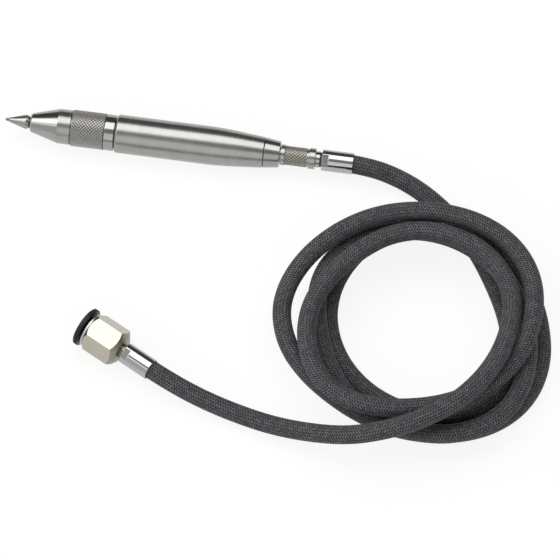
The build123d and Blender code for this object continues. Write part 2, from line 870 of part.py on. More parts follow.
# Coiled hose: four loose turns as one unbroken tube
with BuildPart() as hose_coil:
    with BuildLine() as coil_line:
        draw_biarcs(coil, coil_headings)
    with BuildSketch(Plane(origin=coil[0], z_dir=coil_headings[0])):
        RegularPolygon(hose_radius, hose_sides)
    sweep()
save(hose_coil.part, "hose_coil")

# Hose from the coil to the pen, opened at its end for the barbs
with BuildPart() as hose_lead:
    with BuildLine() as lead_line:
        FilletPolyline(*lead, radius=corner_radii(lead))
    with BuildSketch(Plane(origin=lead[0], z_dir=coil_headings[-1])):
        RegularPolygon(hose_radius, hose_sides)
    sweep()
    lead_bore = tube_outline(lead_start, lead_start + hose_bore_depth, 0, hose_bore_radius)
    add(turning(pen, lead_bore), mode=Mode.SUBTRACT)
save(hose_lead.part, "hose_lead")

# Measures of the hose: its radii, its length, its lowest point and its least gap to itself
hose_lines = [tail_line.wire(), coil_line.wire(), lead_line.wire()]
route = []
for line in hose_lines:
    steps = math.ceil(line.length / gap_step)
    route += [line.position_at(step / steps) for step in range(steps)]
places = [(point.X, point.Y, point.Z) for point in route]
skip = math.ceil(gap_skip / gap_step)
least = math.inf
for index, place in enumerate(places):
    for other in places[index + skip:]:
        least = min(least, math.dist(place, other))
print("tail radii", [round(radius) for radius in corner_radii(tail)])
print("lead radii", [round(radius) for radius in corner_radii(lead)])
print("hose length", round(sum(line.length for line in hose_lines), 1))
print("lowest hose centre", round(min(place[2] for place in places), 2))
print("least gap of the hose to itself", round(least - 2 * hose_radius, 2))
hose_section = hose_sides / 2 * hose_radius**2 * math.sin(2 * math.pi / hose_sides)
for piece, line in ((hose_tail, hose_lines[0]), (hose_coil, hose_lines[1]), (hose_lead, hose_lines[2])):
    plain_volume = hose_section * line.length
    print("volume against section times length", round(piece.part.volume / plain_volume, 4))
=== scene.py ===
# Pneumatic engraving pen with its braided air hose and push-in connector.
import math

import bmesh
import bpy
import numpy as np
from mathutils import Matrix, Vector

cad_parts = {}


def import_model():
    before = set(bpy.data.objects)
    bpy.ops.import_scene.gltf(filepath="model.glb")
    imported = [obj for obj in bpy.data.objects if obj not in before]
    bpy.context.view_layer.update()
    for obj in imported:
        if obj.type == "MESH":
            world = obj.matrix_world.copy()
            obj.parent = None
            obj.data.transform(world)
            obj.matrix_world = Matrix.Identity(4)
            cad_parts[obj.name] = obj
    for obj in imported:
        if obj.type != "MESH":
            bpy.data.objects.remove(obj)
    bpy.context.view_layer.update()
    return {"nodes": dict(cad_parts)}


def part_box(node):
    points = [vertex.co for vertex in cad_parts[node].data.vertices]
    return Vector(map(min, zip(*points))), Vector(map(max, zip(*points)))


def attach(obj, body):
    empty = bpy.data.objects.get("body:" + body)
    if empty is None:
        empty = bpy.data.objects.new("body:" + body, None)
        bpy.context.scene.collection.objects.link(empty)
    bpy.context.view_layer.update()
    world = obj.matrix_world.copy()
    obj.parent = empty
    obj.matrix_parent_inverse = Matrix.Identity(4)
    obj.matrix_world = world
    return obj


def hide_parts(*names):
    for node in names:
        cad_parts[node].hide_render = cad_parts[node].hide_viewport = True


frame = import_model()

MM = 0.001

# Camera and studio. The picture is taken to be square.
VIEW_AZIMUTH = 8.2
VIEW_ELEVATION = 65.0
VIEW_DISTANCE = 2.0
VIEW_CENTRE = (0.0617, -0.0609, 0.0082)
FIELD_WIDTH = 0.2464
SENSOR_WIDTH = 36.0
FLOOR_HALF = 8.0
FLOOR_SHADE = 0.96
FLOOR_GLOW = 0.88
FLOOR_ROUGHNESS = 0.9
SOFTBOX_DISTANCE = 1.6
SOFTBOX_TILT = 18.0
SOFTBOX_TURN = 18.0
SOFTBOX_SHIFT = -0.4
SOFTBOX_SIZE = (2.6, 1.22)
SOFTBOX_LEVEL = 2.15
RIGHT_WALL = 0.5
LEFT_LEVEL = 0.8
SIDE_BOX_LEVEL = 1.8
# Where the room's lights fade: across it, from -1 at the left to 1 at the right, and by the
# angle over the table, in shares of the half turn from its near edge to its far edge
LEFT_EDGE = (-0.26, -0.1)
LEFT_TOP = (0.3, 0.38)
RIGHT_EDGE = (-0.2, 0.8)
SIDE_BOX_EDGE = (-0.5, -0.44)
SIDE_BOX_FOOT = (0.3, 0.33)
SIDE_BOX_TOP = (0.55, 0.62)
# Light of the room by the same angle
ROOM_LEVELS = [
    (0.00, 0.50),
    (0.05, 0.50),
    (0.10, 1.30),
    (0.28, 1.30),
    (0.34, 0.36),
    (0.43, 0.36),
    (0.47, 0.50),
    (0.70, 0.50),
    (0.74, 0.10),
    (1.00, 0.12),
]

# Lengths along the pen from the point of the tip, in millimetres
TIP_POINT = 0.55
TIP_END = 1.7
CONE_END = 9.3
STYLUS_END = 10.8
NOSE_START = 11.4
NOSE_LIP_END = 12.0
NOSE_CONE_END = 24.0
NOSE_END = 29.8
GRIP_START = 30.3
GRIP_END = 44.9
RING_START = 45.2
RING_END = 49.6
BARREL_START = 50.1
TAPER_START = 90.3
TAPER_STRAIGHT = 104.3
BARREL_END = 116.78
CAP_SEAL = 116.925
CAP_START = 117.07
CAP_END = 123.9
COLLAR_START = 124.3
COLLAR_GRIP_START = 126.2
COLLAR_GRIP_END = 136.1
COLLAR_RING_START = 137.0
COLLAR_END = 139.9
STOP_START = 140.2
PEN_END = 142.0
FERRULE_START = 142.9

# Radii of the pen, in millimetres
TIP_RADIUS = 0.66
TIP_BLUNT = 0.3
TIP_ROUND = TIP_POINT / 3
TIP_ROUND_RADIUS = 0.82 * TIP_RADIUS
STYLUS_FRONT_RADIUS = 1.0
STYLUS_RADIUS = 3.3
STYLUS_BACK_RADIUS = 2.7
SHANK_RADIUS = 2.4
NOSE_FACE_RADIUS = 3.65
NOSE_LIP_RADIUS = 4.3
NOSE_SHOULDER_RADIUS = 7.75
NOSE_RADIUS = 7.82
GRIP_RADIUS = 8.15
RING_RADIUS = 8.125
BARREL_RADIUS = 8.62
BARREL_BLEND_RADIUS = 7.989
BARREL_REAR_RADIUS = 6.875
BARREL_CHAMFER = 0.6
CAP_SEAL_RING = 5.84
CAP_SEAL_WIRE = 0.24
CAP_FRONT_RADIUS = 6.8
CAP_REAR_RADIUS = 5.875
COLLAR_LAND_RADIUS = 4.65
COLLAR_GRIP_RADIUS = 4.25
COLLAR_NECK_RADIUS = 4.05
COLLAR_RING_RADIUS = 4.7
STOP_RADIUS = 3.65

# Inside of the pen, in millimetres
TIP_SEAT = 0.3
STYLUS_COLLAR_START = 28.4
STYLUS_COLLAR_END = 31.4
STYLUS_COLLAR_RADIUS = 3.8
STYLUS_STRUCK_END = 60.4
NOSE_MOUTH = 2.7
BUSH_SEAT_END = 19.0
BUSH_SEAT_RADIUS = 3.25
CHAMBER_RADIUS = 4.1
NOSE_THREAD_START = 24.3
NOSE_THREAD_BORE = 6.2
GRIP_SPIGOT_START = 24.6
GRIP_SPIGOT_RADIUS = 6.15
GRIP_TAIL_END = 57.1
GRIP_TAIL_RADIUS = 6.8
ANVIL_SEAT_RADIUS = 4.55
WEB_START = 31.5
WEB_END = 46.3
WEB_BORE = 2.7
BARREL_THREAD_END = 57.15
BARREL_THREAD_BORE = 6.85
BARREL_ROOM_END = 94.65
BARREL_ROOM_RADIUS = 6.0
BARREL_REAR_BORE = 5.6
CAP_SPIGOT_START = 104.65
CAP_SPIGOT_RADIUS = 5.55
CAP_BORE = 3.5
COLLAR_BORE = 3.46
STOP_BORE = 2.7

# Hose and ferrules, in millimetres
HOSE_RADIUS = 4.2
HOSE_BORE = 2.8
HOSE_BORE_DEPTH = 8.7
HOSE_PLAIN_END = 4.0
FERRULE_RADIUS = 4.8
FERRULE_LENGTH = 14.0
FERRULE_WALL = 3.8
FERRULE_NECK = 2.7
FERRULE_BORE = 4.25
FLAT_LENGTH = 2.9
FLAT_HALF = 4.2
FLAT_ROLL = 113.0

# Connector, in millimetres from the outer face of its release ring
RELEASE_RADIUS = 8.95
RELEASE_THICKNESS = 2.2
RELEASE_BORE = 4.2
RELEASE_LEAD_IN = 0.3
RELEASE_SLEEVE_RADIUS = 5.0
RELEASE_END = 9.2
BAND_START = 3.15
BAND_END = 4.2
BAND_RADIUS = 7.85
BAND_BORE = 5.04
SLEEVE_RADIUS = 6.4
SLEEVE_END = 10.0
HEX_START = 4.4
HEX_END = 17.9
HEX_HALF = 8.0
HEX_ROLL = 6.5
HEX_FACE_RADIUS = 8.05
HEX_CHAMFER = 1.6
HEX_CORNER = 9.54
HEX_CORNER_ROUND = 0.15
CONE_REAR_RADIUS = 5.9
CONNECTOR_END = 20.5
SOCKET_BORE = 6.45
SOCKET_END = 10.1
THREAD_BORE = 2.6
END_FERRULE_START = 22.2
CONNECTOR_LENGTH = 36.2
CONNECTOR_HEADING = -27.5
CONNECTOR_EXIT = (12.3, -112.0)

# Edges and surface detail, in millimetres and counts
EDGE = 0.16
EDGE_STEPS = 3
EDGE_HOLD = 1.45
EDGE_LIMIT = 0.3
MERGE_GAP = 1e-7
SLIVER = 1e-8
ROUND_STEPS = 144
TAPER_STEPS = 10
WIRE_STEPS = 20
FLAT_STEPS = 24
FLAT_GAP_STEPS = 48
FLAT_FACING = 0.999
CONE_FACING = 0.3
KNURL_UNDERCUT = 0.1
KNURL_CORE = 1.0
OVERLAP = 0.02
TOOTH_TOP = 0.62
PIT_RIM = 0.74
PIT_FLOOR = 0.42
PIT_BOTTOM = 0.1
RIB_COUNT = 60
RIB_HEIGHT = 0.32
RIB_HIGHLIGHT_FROM = RIB_HEIGHT / 3
RIB_HALF_WIDTH = 0.27
RIB_SIDES = 6
BRAID_COLUMNS = 18
BRAID_PITCH = 1.2
BRAID_LEAN = 0.62
BRAID_RELIEF = 0.22
BRAID_ROWS = 4
GRIP_KNURL = {
    "start": GRIP_START,
    "end": GRIP_END,
    "crest": GRIP_RADIUS,
    "depth": 0.26,
    "columns": 34,
    "rows": 21,
}
COLLAR_KNURL = {
    "start": COLLAR_GRIP_START,
    "end": COLLAR_GRIP_END,
    "crest": COLLAR_GRIP_RADIUS,
    "depth": 0.36,
    "columns": 18,
    "rows": 14,
}

# Grain of the finishes: repeats in a metre, along the axis and across it where they differ
LATHE_LINES = (9000, 60, 60)
LATHE_BANDS = (900, 30, 30)
CUTTER_LINES = (200, 2600, 2600)
SMUDGES = 140.0
KNURL_GRAIN = 2600.0
PLATING_CAST = 60.0
SPARK_GRAIN = 5200.0
RUBBED_PLACES = 420.0
RUBBER_BLOOM = 900.0
HOSE_WEAR = 90.0
# The same for the yarn, in a stitch's length and width
FILAMENTS = (3, 22, 1)

# Hose route, in millimetres, from the connector to the pen. The coil's turns are set out
# from its middle as four sides in turn: right, far, left and near. A side gives its place
# to the right and away, its height, and, half way to the next side, the height and how far
# out of a quarter ellipse it lies.
COIL_MIDDLE = (120.0, -69.5)
COIL_ROLL = 8.2
QUARTER_STEPS = 6
COIL_SIDES = [
    (45.0, -3.0, 23.0, 23.1, 0.0),
    (4.0, 34.2, 23.0, 23.2, -3.3),
    (-45.3, -13.0, 22.4, 22.8, 2.6),
    (-4.5, -50.7, 21.9, 19.3, 0.0),
    (54.8, 0.0, 23.8, 23.4, 1.2),
    (2.0, 43.9, 22.8, 22.5, -2.6),
    (-56.4, -2.0, 13.2, 13.7, -3.1),
    (11.0, -59.6, 13.8, 13.6, 2.2),
    (52.0, -15.5, 12.7, 13.4, 0.0),
    (2.0, 38.0, 14.9, 15.0, 0.8),
    (-40.6, 4.0, 13.4, 7.2, 2.5),
    (13.0, -55.5, 4.8, 4.6, 1.5),
    (58.5, -12.5, 4.8, 9.0, -2.2),
    (15.0, 47.4, 13.0, 4.8, 0.0),
    (-35.6, 1.0, 4.5, 4.3, -0.3),
    (12.5, -46.9, 4.3, 4.3, 2.6),
    (45.0, -12.5, 4.3, 4.3, 0.0),
]
TAIL_POINTS = [
    (3.52, -107.43, 8.95),
    (17.71, -114.82, 8.95),
    (34.5, -120.5, 5.2),
    (52.5, -125.5, 4.3),
    (70.5, -129.4, 5.2),
    (89.0, -132.3, 10.5),
    (103.5, -134.0, 17.8),
    (117.0, -132.0, 23.0),
    (129.5, -127.5, 26.2),
    (142.0, -120.0, 28.5),
    (149.6, -113.1, 29.1),
    (157.0, -103.0, 29.2),
    (162.0, -91.5, 28.1),
    (164.5, -79.0, 25.4),
]
LEAD_POINTS = [
    (162.0, -61.0, 4.3),
    (154.5, -46.5, 4.3),
    (145.6, -32.6, 4.3),
    (134.7, -20.5, 4.3),
    (122.8, -10.4, 4.3),
    (108.6, -2.7, 4.7),
    (92.0, 0.0, 8.62),
    (76.0, 0.0, 8.62),
]
LINE_STEPS = 12


# Outlines of the turned pieces, as stations and radii
def stretches(*parts):
    """A stepped outline from its level stretches, each from one station to another at a radius."""
    return [(station, radius) for *ends, radius in parts for station in ends]


TIP_OUTLINE = [
    (0, 0),
    (0, TIP_BLUNT),
    (TIP_ROUND, TIP_ROUND_RADIUS),
    (TIP_POINT, TIP_RADIUS),
    (TIP_END + TIP_SEAT, TIP_RADIUS),
    (TIP_END + TIP_SEAT, 0),
]
STYLUS_OUTLINE = [
    (TIP_END, 0),
    (TIP_END, STYLUS_FRONT_RADIUS),
    (CONE_END, STYLUS_RADIUS),
    (STYLUS_END, STYLUS_BACK_RADIUS),
    *stretches(
        (STYLUS_END, STYLUS_COLLAR_START, SHANK_RADIUS),
        (STYLUS_COLLAR_START, STYLUS_COLLAR_END, STYLUS_COLLAR_RADIUS),
        (STYLUS_COLLAR_END, STYLUS_STRUCK_END, SHANK_RADIUS),
    ),
    (STYLUS_STRUCK_END, 0),
]
NOSE_OUTLINE = [
    (NOSE_START, NOSE_MOUTH),
    (NOSE_START, NOSE_FACE_RADIUS),
    (NOSE_LIP_END, NOSE_LIP_RADIUS),
    (NOSE_CONE_END, NOSE_SHOULDER_RADIUS),
    (NOSE_END, NOSE_RADIUS),
    *stretches(
        (NOSE_END, NOSE_THREAD_START, NOSE_THREAD_BORE),
        (NOSE_THREAD_START, BUSH_SEAT_END, CHAMBER_RADIUS),
        (BUSH_SEAT_END, NOSE_LIP_END, BUSH_SEAT_RADIUS),
    ),
    (NOSE_LIP_END, NOSE_MOUTH),
]
GRIP_FLOOR = GRIP_RADIUS - GRIP_KNURL["depth"] - KNURL_UNDERCUT
GRIP_OUTLINE = stretches(
    (GRIP_SPIGOT_START, GRIP_START, GRIP_SPIGOT_RADIUS),
    (GRIP_START, GRIP_END, GRIP_FLOOR),
    (GRIP_END, GRIP_TAIL_END, GRIP_TAIL_RADIUS),
    (GRIP_TAIL_END, WEB_END, ANVIL_SEAT_RADIUS),
    (WEB_END, WEB_START, WEB_BORE),
    (WEB_START, GRIP_SPIGOT_START, CHAMBER_RADIUS),
)
RING_OUTLINE = stretches(
    (RING_START, RING_END, RING_RADIUS),
    (RING_END, RING_START, BARREL_THREAD_BORE),
)
CAP_OUTLINE = [
    (CAP_SPIGOT_START, CAP_BORE),
    (CAP_SPIGOT_START, CAP_SPIGOT_RADIUS),
    (CAP_START, CAP_SPIGOT_RADIUS),
    (CAP_START, CAP_FRONT_RADIUS),
    (CAP_END, CAP_REAR_RADIUS),
    (CAP_END, CAP_BORE),
]
COLLAR_FLOOR = COLLAR_GRIP_RADIUS - COLLAR_KNURL["depth"] - KNURL_UNDERCUT
COLLAR_OUTLINE = stretches(
    (COLLAR_START, COLLAR_GRIP_START, COLLAR_LAND_RADIUS),
    (COLLAR_GRIP_START, COLLAR_GRIP_END, COLLAR_FLOOR),
    (COLLAR_GRIP_END, COLLAR_RING_START, COLLAR_NECK_RADIUS),
    (COLLAR_RING_START, COLLAR_END, COLLAR_RING_RADIUS),
    (COLLAR_END, COLLAR_START, COLLAR_BORE),
)
STOP_OUTLINE = stretches(
    (STOP_START, PEN_END, STOP_RADIUS),
    (PEN_END, STOP_START, STOP_BORE),
)
BAND_OUTLINE = stretches(
    (BAND_START, BAND_END, BAND_RADIUS),
    (BAND_END, SLEEVE_END, SLEEVE_RADIUS),
    (SLEEVE_END, BAND_START, BAND_BORE),
)
RELEASE_RIM = RELEASE_RADIUS - RIB_HEIGHT
RELEASE_OUTLINE = [
    (0, RELEASE_BORE + RELEASE_LEAD_IN),
    *stretches(
        (0, RELEASE_THICKNESS, RELEASE_RIM),
        (RELEASE_THICKNESS, RELEASE_END, RELEASE_SLEEVE_RADIUS),
        (RELEASE_END, RELEASE_LEAD_IN, RELEASE_BORE),
    ),
]

# Places: the pen lies along X, the connector along its own level heading
tip_low, tip_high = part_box("carbide_tip")
pen_height = (tip_low.z + tip_high.z) / 2
pen_place = Matrix.Translation((tip_low.x, 0, pen_height)) @ Matrix.Scale(MM, 4)
connector_turn = math.radians(CONNECTOR_HEADING)
connector_exit = Matrix.Translation((*(side * MM for side in CONNECTOR_EXIT), RELEASE_RADIUS * MM))
connector_axis = connector_exit @ Matrix.Rotation(connector_turn, 4, "Z") @ Matrix.Scale(MM, 4)
connector_place = connector_axis @ Matrix.Translation((-CONNECTOR_LENGTH, 0, 0))


class Socket:
    """An output socket that can stand in a Python expression: each operator adds a Math node."""

    def __init__(self, tree, output):
        self.tree = tree
        self.output = output

    def out(self, name):
        """Another output of the same node."""
        return Socket(self.tree, self.output.node.outputs[name])

    def maths(self, operation, first, second=0.0):
        return self.tree.node("ShaderNodeMath", {0: first, 1: second}, {"operation": operation})

    def __add__(self, other):
        return self.maths("ADD", self, other)

    __radd__ = __add__

    def __sub__(self, other):
        return self.maths("SUBTRACT", self, other)

    def __rsub__(self, other):
        return self.maths("SUBTRACT", other, self)

    def __mul__(self, other):
        return self.maths("MULTIPLY", self, other)

    __rmul__ = __mul__

    def __truediv__(self, other):
        return self.maths("DIVIDE", self, other)

    def __rtruediv__(self, other):
        return self.maths("DIVIDE", other, self)

    def __mod__(self, other):
        return self.maths("MODULO", self, other)

    def sine(self):
        return self.maths("SINE", self)

    def cosine(self):
        return self.maths("COSINE", self)

    def root(self):
        return self.maths("SQRT", self)

    def distance(self):
        return self.maths("ABSOLUTE", self)

    def turn_from(self, level):
        """The angle whose tangent is this value over a level one."""
        return self.maths("ARCTAN2", self, level)

    def between(self, low, high):
        """0 below low, 1 above high, and a smooth step between them."""
        sockets = {"Value": self, "From Min": low, "From Max": high}
        return self.tree.node("ShaderNodeMapRange", sockets, {"interpolation_type": "SMOOTHSTEP"})


class Tree:
    """A node tree, with one method that makes any node."""

    def __init__(self, group):
        self.group = group

    def node(self, kind, sockets=None, settings=None, output=0):
        made = self.group.nodes.new(kind)
        for name, value in (settings or {}).items():
            if name == "stops":
                self.set_stops(made.color_ramp, value)
            else:
                setattr(made, name, value)
        for key, value in (sockets or {}).items():
            self.feed(made.inputs[key], value)
        return Socket(self, made.outputs[output]) if len(made.outputs) else made

    def set_stops(self, ramp, stops):
        while len(ramp.elements) < len(stops):
            ramp.elements.new(1.0)
        for element, (place, level) in zip(ramp.elements, stops):
            element.position = place
            element.color = grey(level)

    def feed(self, target, value):
        """Links a socket, or several to one input, or sets a plain value."""
        several = value if isinstance(value, list) else [value]
        for one in several:
            if isinstance(one, Socket):
                self.group.links.new(one.output, target)
            else:
                target.default_value = one

    def mix(self, share, first, second):
        """A colour between two colours."""
        sockets = {0: share, 6: first, 7: second}
        return self.node("ShaderNodeMix", sockets, {"data_type": "RGBA"}, output=2)

    def noise(self, place, scale=1.0, detail=2.0):
        sockets = {"Vector": place, "Scale": scale, "Detail": detail}
        return self.node("ShaderNodeTexNoise", sockets)

    def mapped(self, place, scale=(1, 1, 1), turn=0.0):
        sockets = {"Vector": place, "Scale": scale, "Rotation": (0, 0, turn)}
        return self.node("ShaderNodeMapping", sockets)


class Finish(Tree):
    """A material: a principled shader with its constant values, and the nodes that feed it."""

    def __init__(self, name, **constants):
        self.material = bpy.data.materials.new(name)
        self.material.use_nodes = True
        super().__init__(self.material.node_tree)
        self.shader = self.group.nodes["Principled BSDF"]
        for key, value in constants.items():
            self.shader.inputs[key.replace("_", " ")].default_value = value
        self.place = self.node("ShaderNodeTexCoord", output="Object")

    def paint(self, base, roughness, height, depth, strength=0.5):
        """Feeds the shader's colour and roughness, and its normal from a height in millimetres."""
        self.feed(self.shader.inputs["Base Color"], base)
        self.feed(self.shader.inputs["Roughness"], roughness)
        sockets = {"Height": height, "Distance": depth * MM, "Strength": strength}
        self.feed(self.shader.inputs["Normal"], self.node("ShaderNodeBump", sockets))
        return self.material


def grey(level):
    """A grey of linear light."""
    return (level, level, level, 1)


def colour(red, green, blue):
    """A colour written as it shows on a screen, from 0 to 255, as linear light."""
    def linear(level):
        share = level / 255
        return share / 12.92 if share <= 0.04045 else ((share + 0.055) / 1.055) ** 2.4
    return (linear(red), linear(green), linear(blue), 1.0)


# Finishes
def turned_metal(name, bright, dull, roughness, spread, line_depth=0.0015, turn=0.0):
    """Metal off a lathe: fine rings along the axis, broader bands of cut and faint handling marks."""
    finish = Finish(name, Metallic=1.0)
    along = finish.mapped(finish.place, turn=turn)
    fine = finish.noise(finish.mapped(along, LATHE_LINES))
    bands = finish.noise(finish.mapped(along, LATHE_BANDS))
    smudges = finish.noise(finish.place, SMUDGES, 4.0).between(0.35, 0.7)
    tone = (fine * 0.45 + bands * 0.3 + smudges * 0.25).between(0.25, 0.75)
    rough = roughness + (fine - 0.5) * spread + smudges * (spread * 0.4)
    return finish.paint(finish.mix(tone, dull, bright), rough, fine + bands * 0.5, line_depth)


def knurl_metal(name, bright, shaded_groove, roughness, knurl):
    """Steel of a knurled sleeve: lighter on the crests and darker in the grooves, as painted shade."""
    finish = Finish(name, Metallic=1.0)
    apart = finish.node("ShaderNodeSeparateXYZ", {"Vector": finish.place})
    across = apart.out("Y")
    up = apart.out("Z") - pen_height
    radius = (across * across + up * up).root()
    floor = (knurl["crest"] - knurl["depth"]) * MM
    rise = ((radius - floor) / (knurl["depth"] * MM)).between(0.05, 0.75)
    grain = finish.noise(finish.place, KNURL_GRAIN, 3.0)
    base = finish.mix(rise + (grain - 0.5) * 0.2, shaded_groove, bright)
    rough = roughness + 0.2 * (1 - rise) + (grain - 0.5) * 0.08
    return finish.paint(base, rough, grain, 0.004)


def plated_metal(name):
    """Nickel over milled brass: soft cutter lines and a warm cast."""
    finish = Finish(name, Metallic=1.0)
    along = finish.mapped(finish.place, turn=-connector_turn)
    cutter = finish.noise(finish.mapped(along, CUTTER_LINES))
    cast = finish.noise(finish.place, PLATING_CAST)
    warm = finish.mix(cast.between(0.3, 0.7), colour(182, 177, 164), colour(176, 171, 157))
    base = finish.mix(cutter.between(0.4, 0.8) * 0.5, warm, colour(190, 187, 177))
    return finish.paint(base, 0.24 + (cutter - 0.5) * 0.08, cutter, 0.0015)


def moulded_plastic(name, dark, pale):
    """Moulded plastic: a fine spark texture and paler rubbed places."""
    finish = Finish(name, IOR=1.46)
    grain = finish.noise(finish.place, SPARK_GRAIN)
    rubbed = finish.noise(finish.place, RUBBED_PLACES, 3.0).between(0.5, 0.8)
    base = finish.mix(rubbed * 0.4 + (grain - 0.5) * 0.3, dark, pale)
    return finish.paint(base, 0.36 + (grain - 0.5) * 0.16 + rubbed * 0.1, grain, 0.012)


def seal_rubber(name):
    """Black seal rubber with a dull bloom."""
    finish = Finish(name, IOR=1.5)
    bloom = finish.noise(finish.place, RUBBER_BLOOM, 4.0)
    base = finish.mix(bloom.between(0.4, 0.75), colour(20, 20, 21), colour(46, 46, 48))
    return finish.paint(base, 0.55 + (bloom - 0.5) * 0.3, bloom, 0.01)


def braided_yarn(name):
    """Braided cover: grey yarn in leaning stitches, dark between them, with fine filaments."""
    finish = Finish(name, IOR=1.4, Sheen_Weight=0.06, Sheen_Roughness=0.5)
    chart = finish.node("ShaderNodeUVMap", settings={"uv_map": "braid"})
    apart = finish.node("ShaderNodeSeparateXYZ", {"Vector": chart})
    crown = 1 - (apart.out("Y") % 1.0 - 0.5).distance() * 2
    middle = 1 - (apart.out("X") % 1.0 - 0.5).distance() * 2
    yarn = crown.between(0.15, 0.65) * (0.2 + 0.8 * middle.between(0.0, 0.4))
    cell = finish.node("ShaderNodeVectorMath", {0: chart}, {"operation": "FLOOR"})
    batch = finish.node("ShaderNodeTexWhiteNoise", {"Vector": cell}, {"noise_dimensions": "2D"})
    filament = finish.noise(finish.mapped(chart, FILAMENTS))
    wear = finish.noise(finish.place, HOSE_WEAR, 4.0).between(0.45, 0.75)
    light = filament.between(0.3, 0.7) * 0.45 + batch * 0.55
    fibre = finish.mix(light, colour(60, 61, 65), colour(118, 119, 123))
    worn = finish.mix(wear * 0.3, fibre, colour(94, 93, 92))
    base = finish.mix(yarn, colour(14, 15, 16), worn)
    rough = 0.86 - yarn * 0.14 + (filament - 0.5) * 0.12
    return finish.paint(base, rough, yarn * 0.6 + filament * 0.4, 0.08, 0.7)


CHROME = (colour(176, 177, 178), colour(168, 169, 171), 0.07, 0.02, 0.0006)
SATIN_CHROME = (colour(188, 188, 190), colour(180, 180, 183), 0.36, 0.06, 0.002)
PEN_FLATS = (colour(154, 154, 160), colour(144, 144, 150), 0.3, 0.06, 0.002)
END_FLATS = (colour(134, 135, 137), colour(124, 125, 128), 0.3, 0.06, 0.002)
STEEL = (colour(162, 161, 158), colour(154, 153, 150))
pen_steel = turned_metal("pen_steel", *STEEL, 0.25, 0.05)
cap_steel = turned_metal("cap_steel", *STEEL, 0.2, 0.04, 0.001)
polished_steel = turned_metal("polished_steel", *STEEL, 0.13, 0.03, 0.001)
# Darker steel as painted shade, where the stylus's shank and the grip's tail show in gaps between parts
shank_steel = turned_metal("shank_steel", colour(90, 89, 87), colour(74, 73, 71), 0.36, 0.1)
carbide = turned_metal("carbide", colour(132, 130, 128), colour(112, 110, 108), 0.3, 0.08)
bright_chrome = turned_metal("bright_chrome", *CHROME)
pen_milled = turned_metal("pen_milled", *PEN_FLATS)
end_chrome = turned_metal("end_chrome", *CHROME, turn=-connector_turn)
end_satin = turned_metal("end_satin", *SATIN_CHROME, turn=-connector_turn)
end_milled = turned_metal("end_milled", *END_FLATS, turn=-connector_turn)
bronze = turned_metal("bronze", colour(196, 148, 92), colour(168, 120, 70), 0.3, 0.16)
inner_steel = turned_metal("inner_steel", colour(176, 176, 178), colour(154, 154, 157), 0.28, 0.16)
spring_steel = turned_metal("spring_steel", colour(150, 152, 158), colour(112, 114, 120), 0.32, 0.14)
# The pen-side nipple's dark colour is painted shade in the gap between stop ring and ferrule
nipple_plate = turned_metal("nipple_plate", colour(66, 65, 62), colour(52, 51, 49), 0.34, 0.1)
# Turned brass of the hexagon's cone and the end nipple: a turned finish, its darker colour painted shade
# for a darker reflection
turned_brass = turned_metal(
    "turned_brass", colour(150, 146, 134), colour(136, 132, 120), 0.3, 0.06, turn=-connector_turn
)
plated_brass = plated_metal("plated_brass")
black_plastic = moulded_plastic("black_plastic", colour(7, 7, 8), colour(24, 24, 26))
# Paler plastic for the release ring's rib crests: painted highlight, and rub wear
rubbed_plastic = moulded_plastic("rubbed_plastic", colour(30, 30, 32), colour(54, 54, 56))
seal_black = seal_rubber("seal_rubber")
hose_yarn = braided_yarn("braided_hose")
# The knurls' groove colours are painted shade in the grooves
grip_steel = knurl_metal("grip_steel", colour(178, 176, 172), colour(134, 132, 128), 0.46, GRIP_KNURL)
collar_steel = knurl_metal("collar_steel", colour(176, 173, 166), colour(126, 123, 116), 0.46, COLLAR_KNURL)


# Meshes
def placed(name, data):
    """An object put in the scene."""
    made = bpy.data.objects.new(name, data)
    bpy.context.scene.collection.objects.link(made)
    return made


def eased(outline, closed=True):
    """An outline of stations and radii with each corner rounded, and held beside the rounding."""
    points = [Vector(point) for point in outline]
    ends = [] if closed else [0, len(points) - 1]
    rounded = []
    for index, corner in enumerate(points):
        if index in ends:
            rounded.append(corner)
            continue
        run_in = points[index - 1] - corner
        run_out = points[(index + 1) % len(points)] - corner
        into = run_in.normalized() * min(EDGE, EDGE_LIMIT * run_in.length)
        away = run_out.normalized() * min(EDGE, EDGE_LIMIT * run_out.length)
        rounded.append(corner + into * EDGE_HOLD)
        for step in range(EDGE_STEPS + 1):
            share = step / EDGE_STEPS
            rounded.append(corner + into * (1 - share) ** 2 + away * share**2)
        rounded.append(corner + away * EDGE_HOLD)
    return rounded


def closed_mesh(name, points, faces):
    """A mesh with doubles merged, flat slivers gone and faces turned outwards."""
    mesh = bpy.data.meshes.new(name)
    mesh.from_pydata(points, [], faces)
    shape = bmesh.new()
    shape.from_mesh(mesh)
    bmesh.ops.remove_doubles(shape, verts=shape.verts, dist=MERGE_GAP)
    bmesh.ops.dissolve_degenerate(shape, edges=shape.edges, dist=SLIVER)
    bmesh.ops.recalc_face_normals(shape, faces=shape.faces)
    shape.to_mesh(mesh)
    shape.free()
    return mesh


def even_angles(steps=ROUND_STEPS):
    return [2 * math.pi * step / steps for step in range(steps)]


def turned(name, place, outline_at, angles=None, closed=True):
    """A mesh turned about a place's x axis; the outline may differ from angle to angle."""
    angles = angles or even_angles()
    points = []
    for angle in angles:
        across, up = math.cos(angle), math.sin(angle)
        points += [place @ Vector((s, r * across, r * up)) for s, r in outline_at(angle)]
    count = len(points) // len(angles)
    faces = []
    for column in range(len(angles)):
        here = column * count
        there = (column + 1) % len(angles) * count
        for row in range(count if closed else count - 1):
            after = (row + 1) % count
            faces.append((here + row, there + row, there + after, here + after))
    return closed_mesh(name, points, faces)


def lathe(name, place, outline):
    """A turned mesh with eased corners; an outline that starts on the axis is left open there."""
    closed = outline[0][1] > 0
    smooth = eased(outline, closed)
    return turned(name, place, lambda angle: smooth, closed=closed)


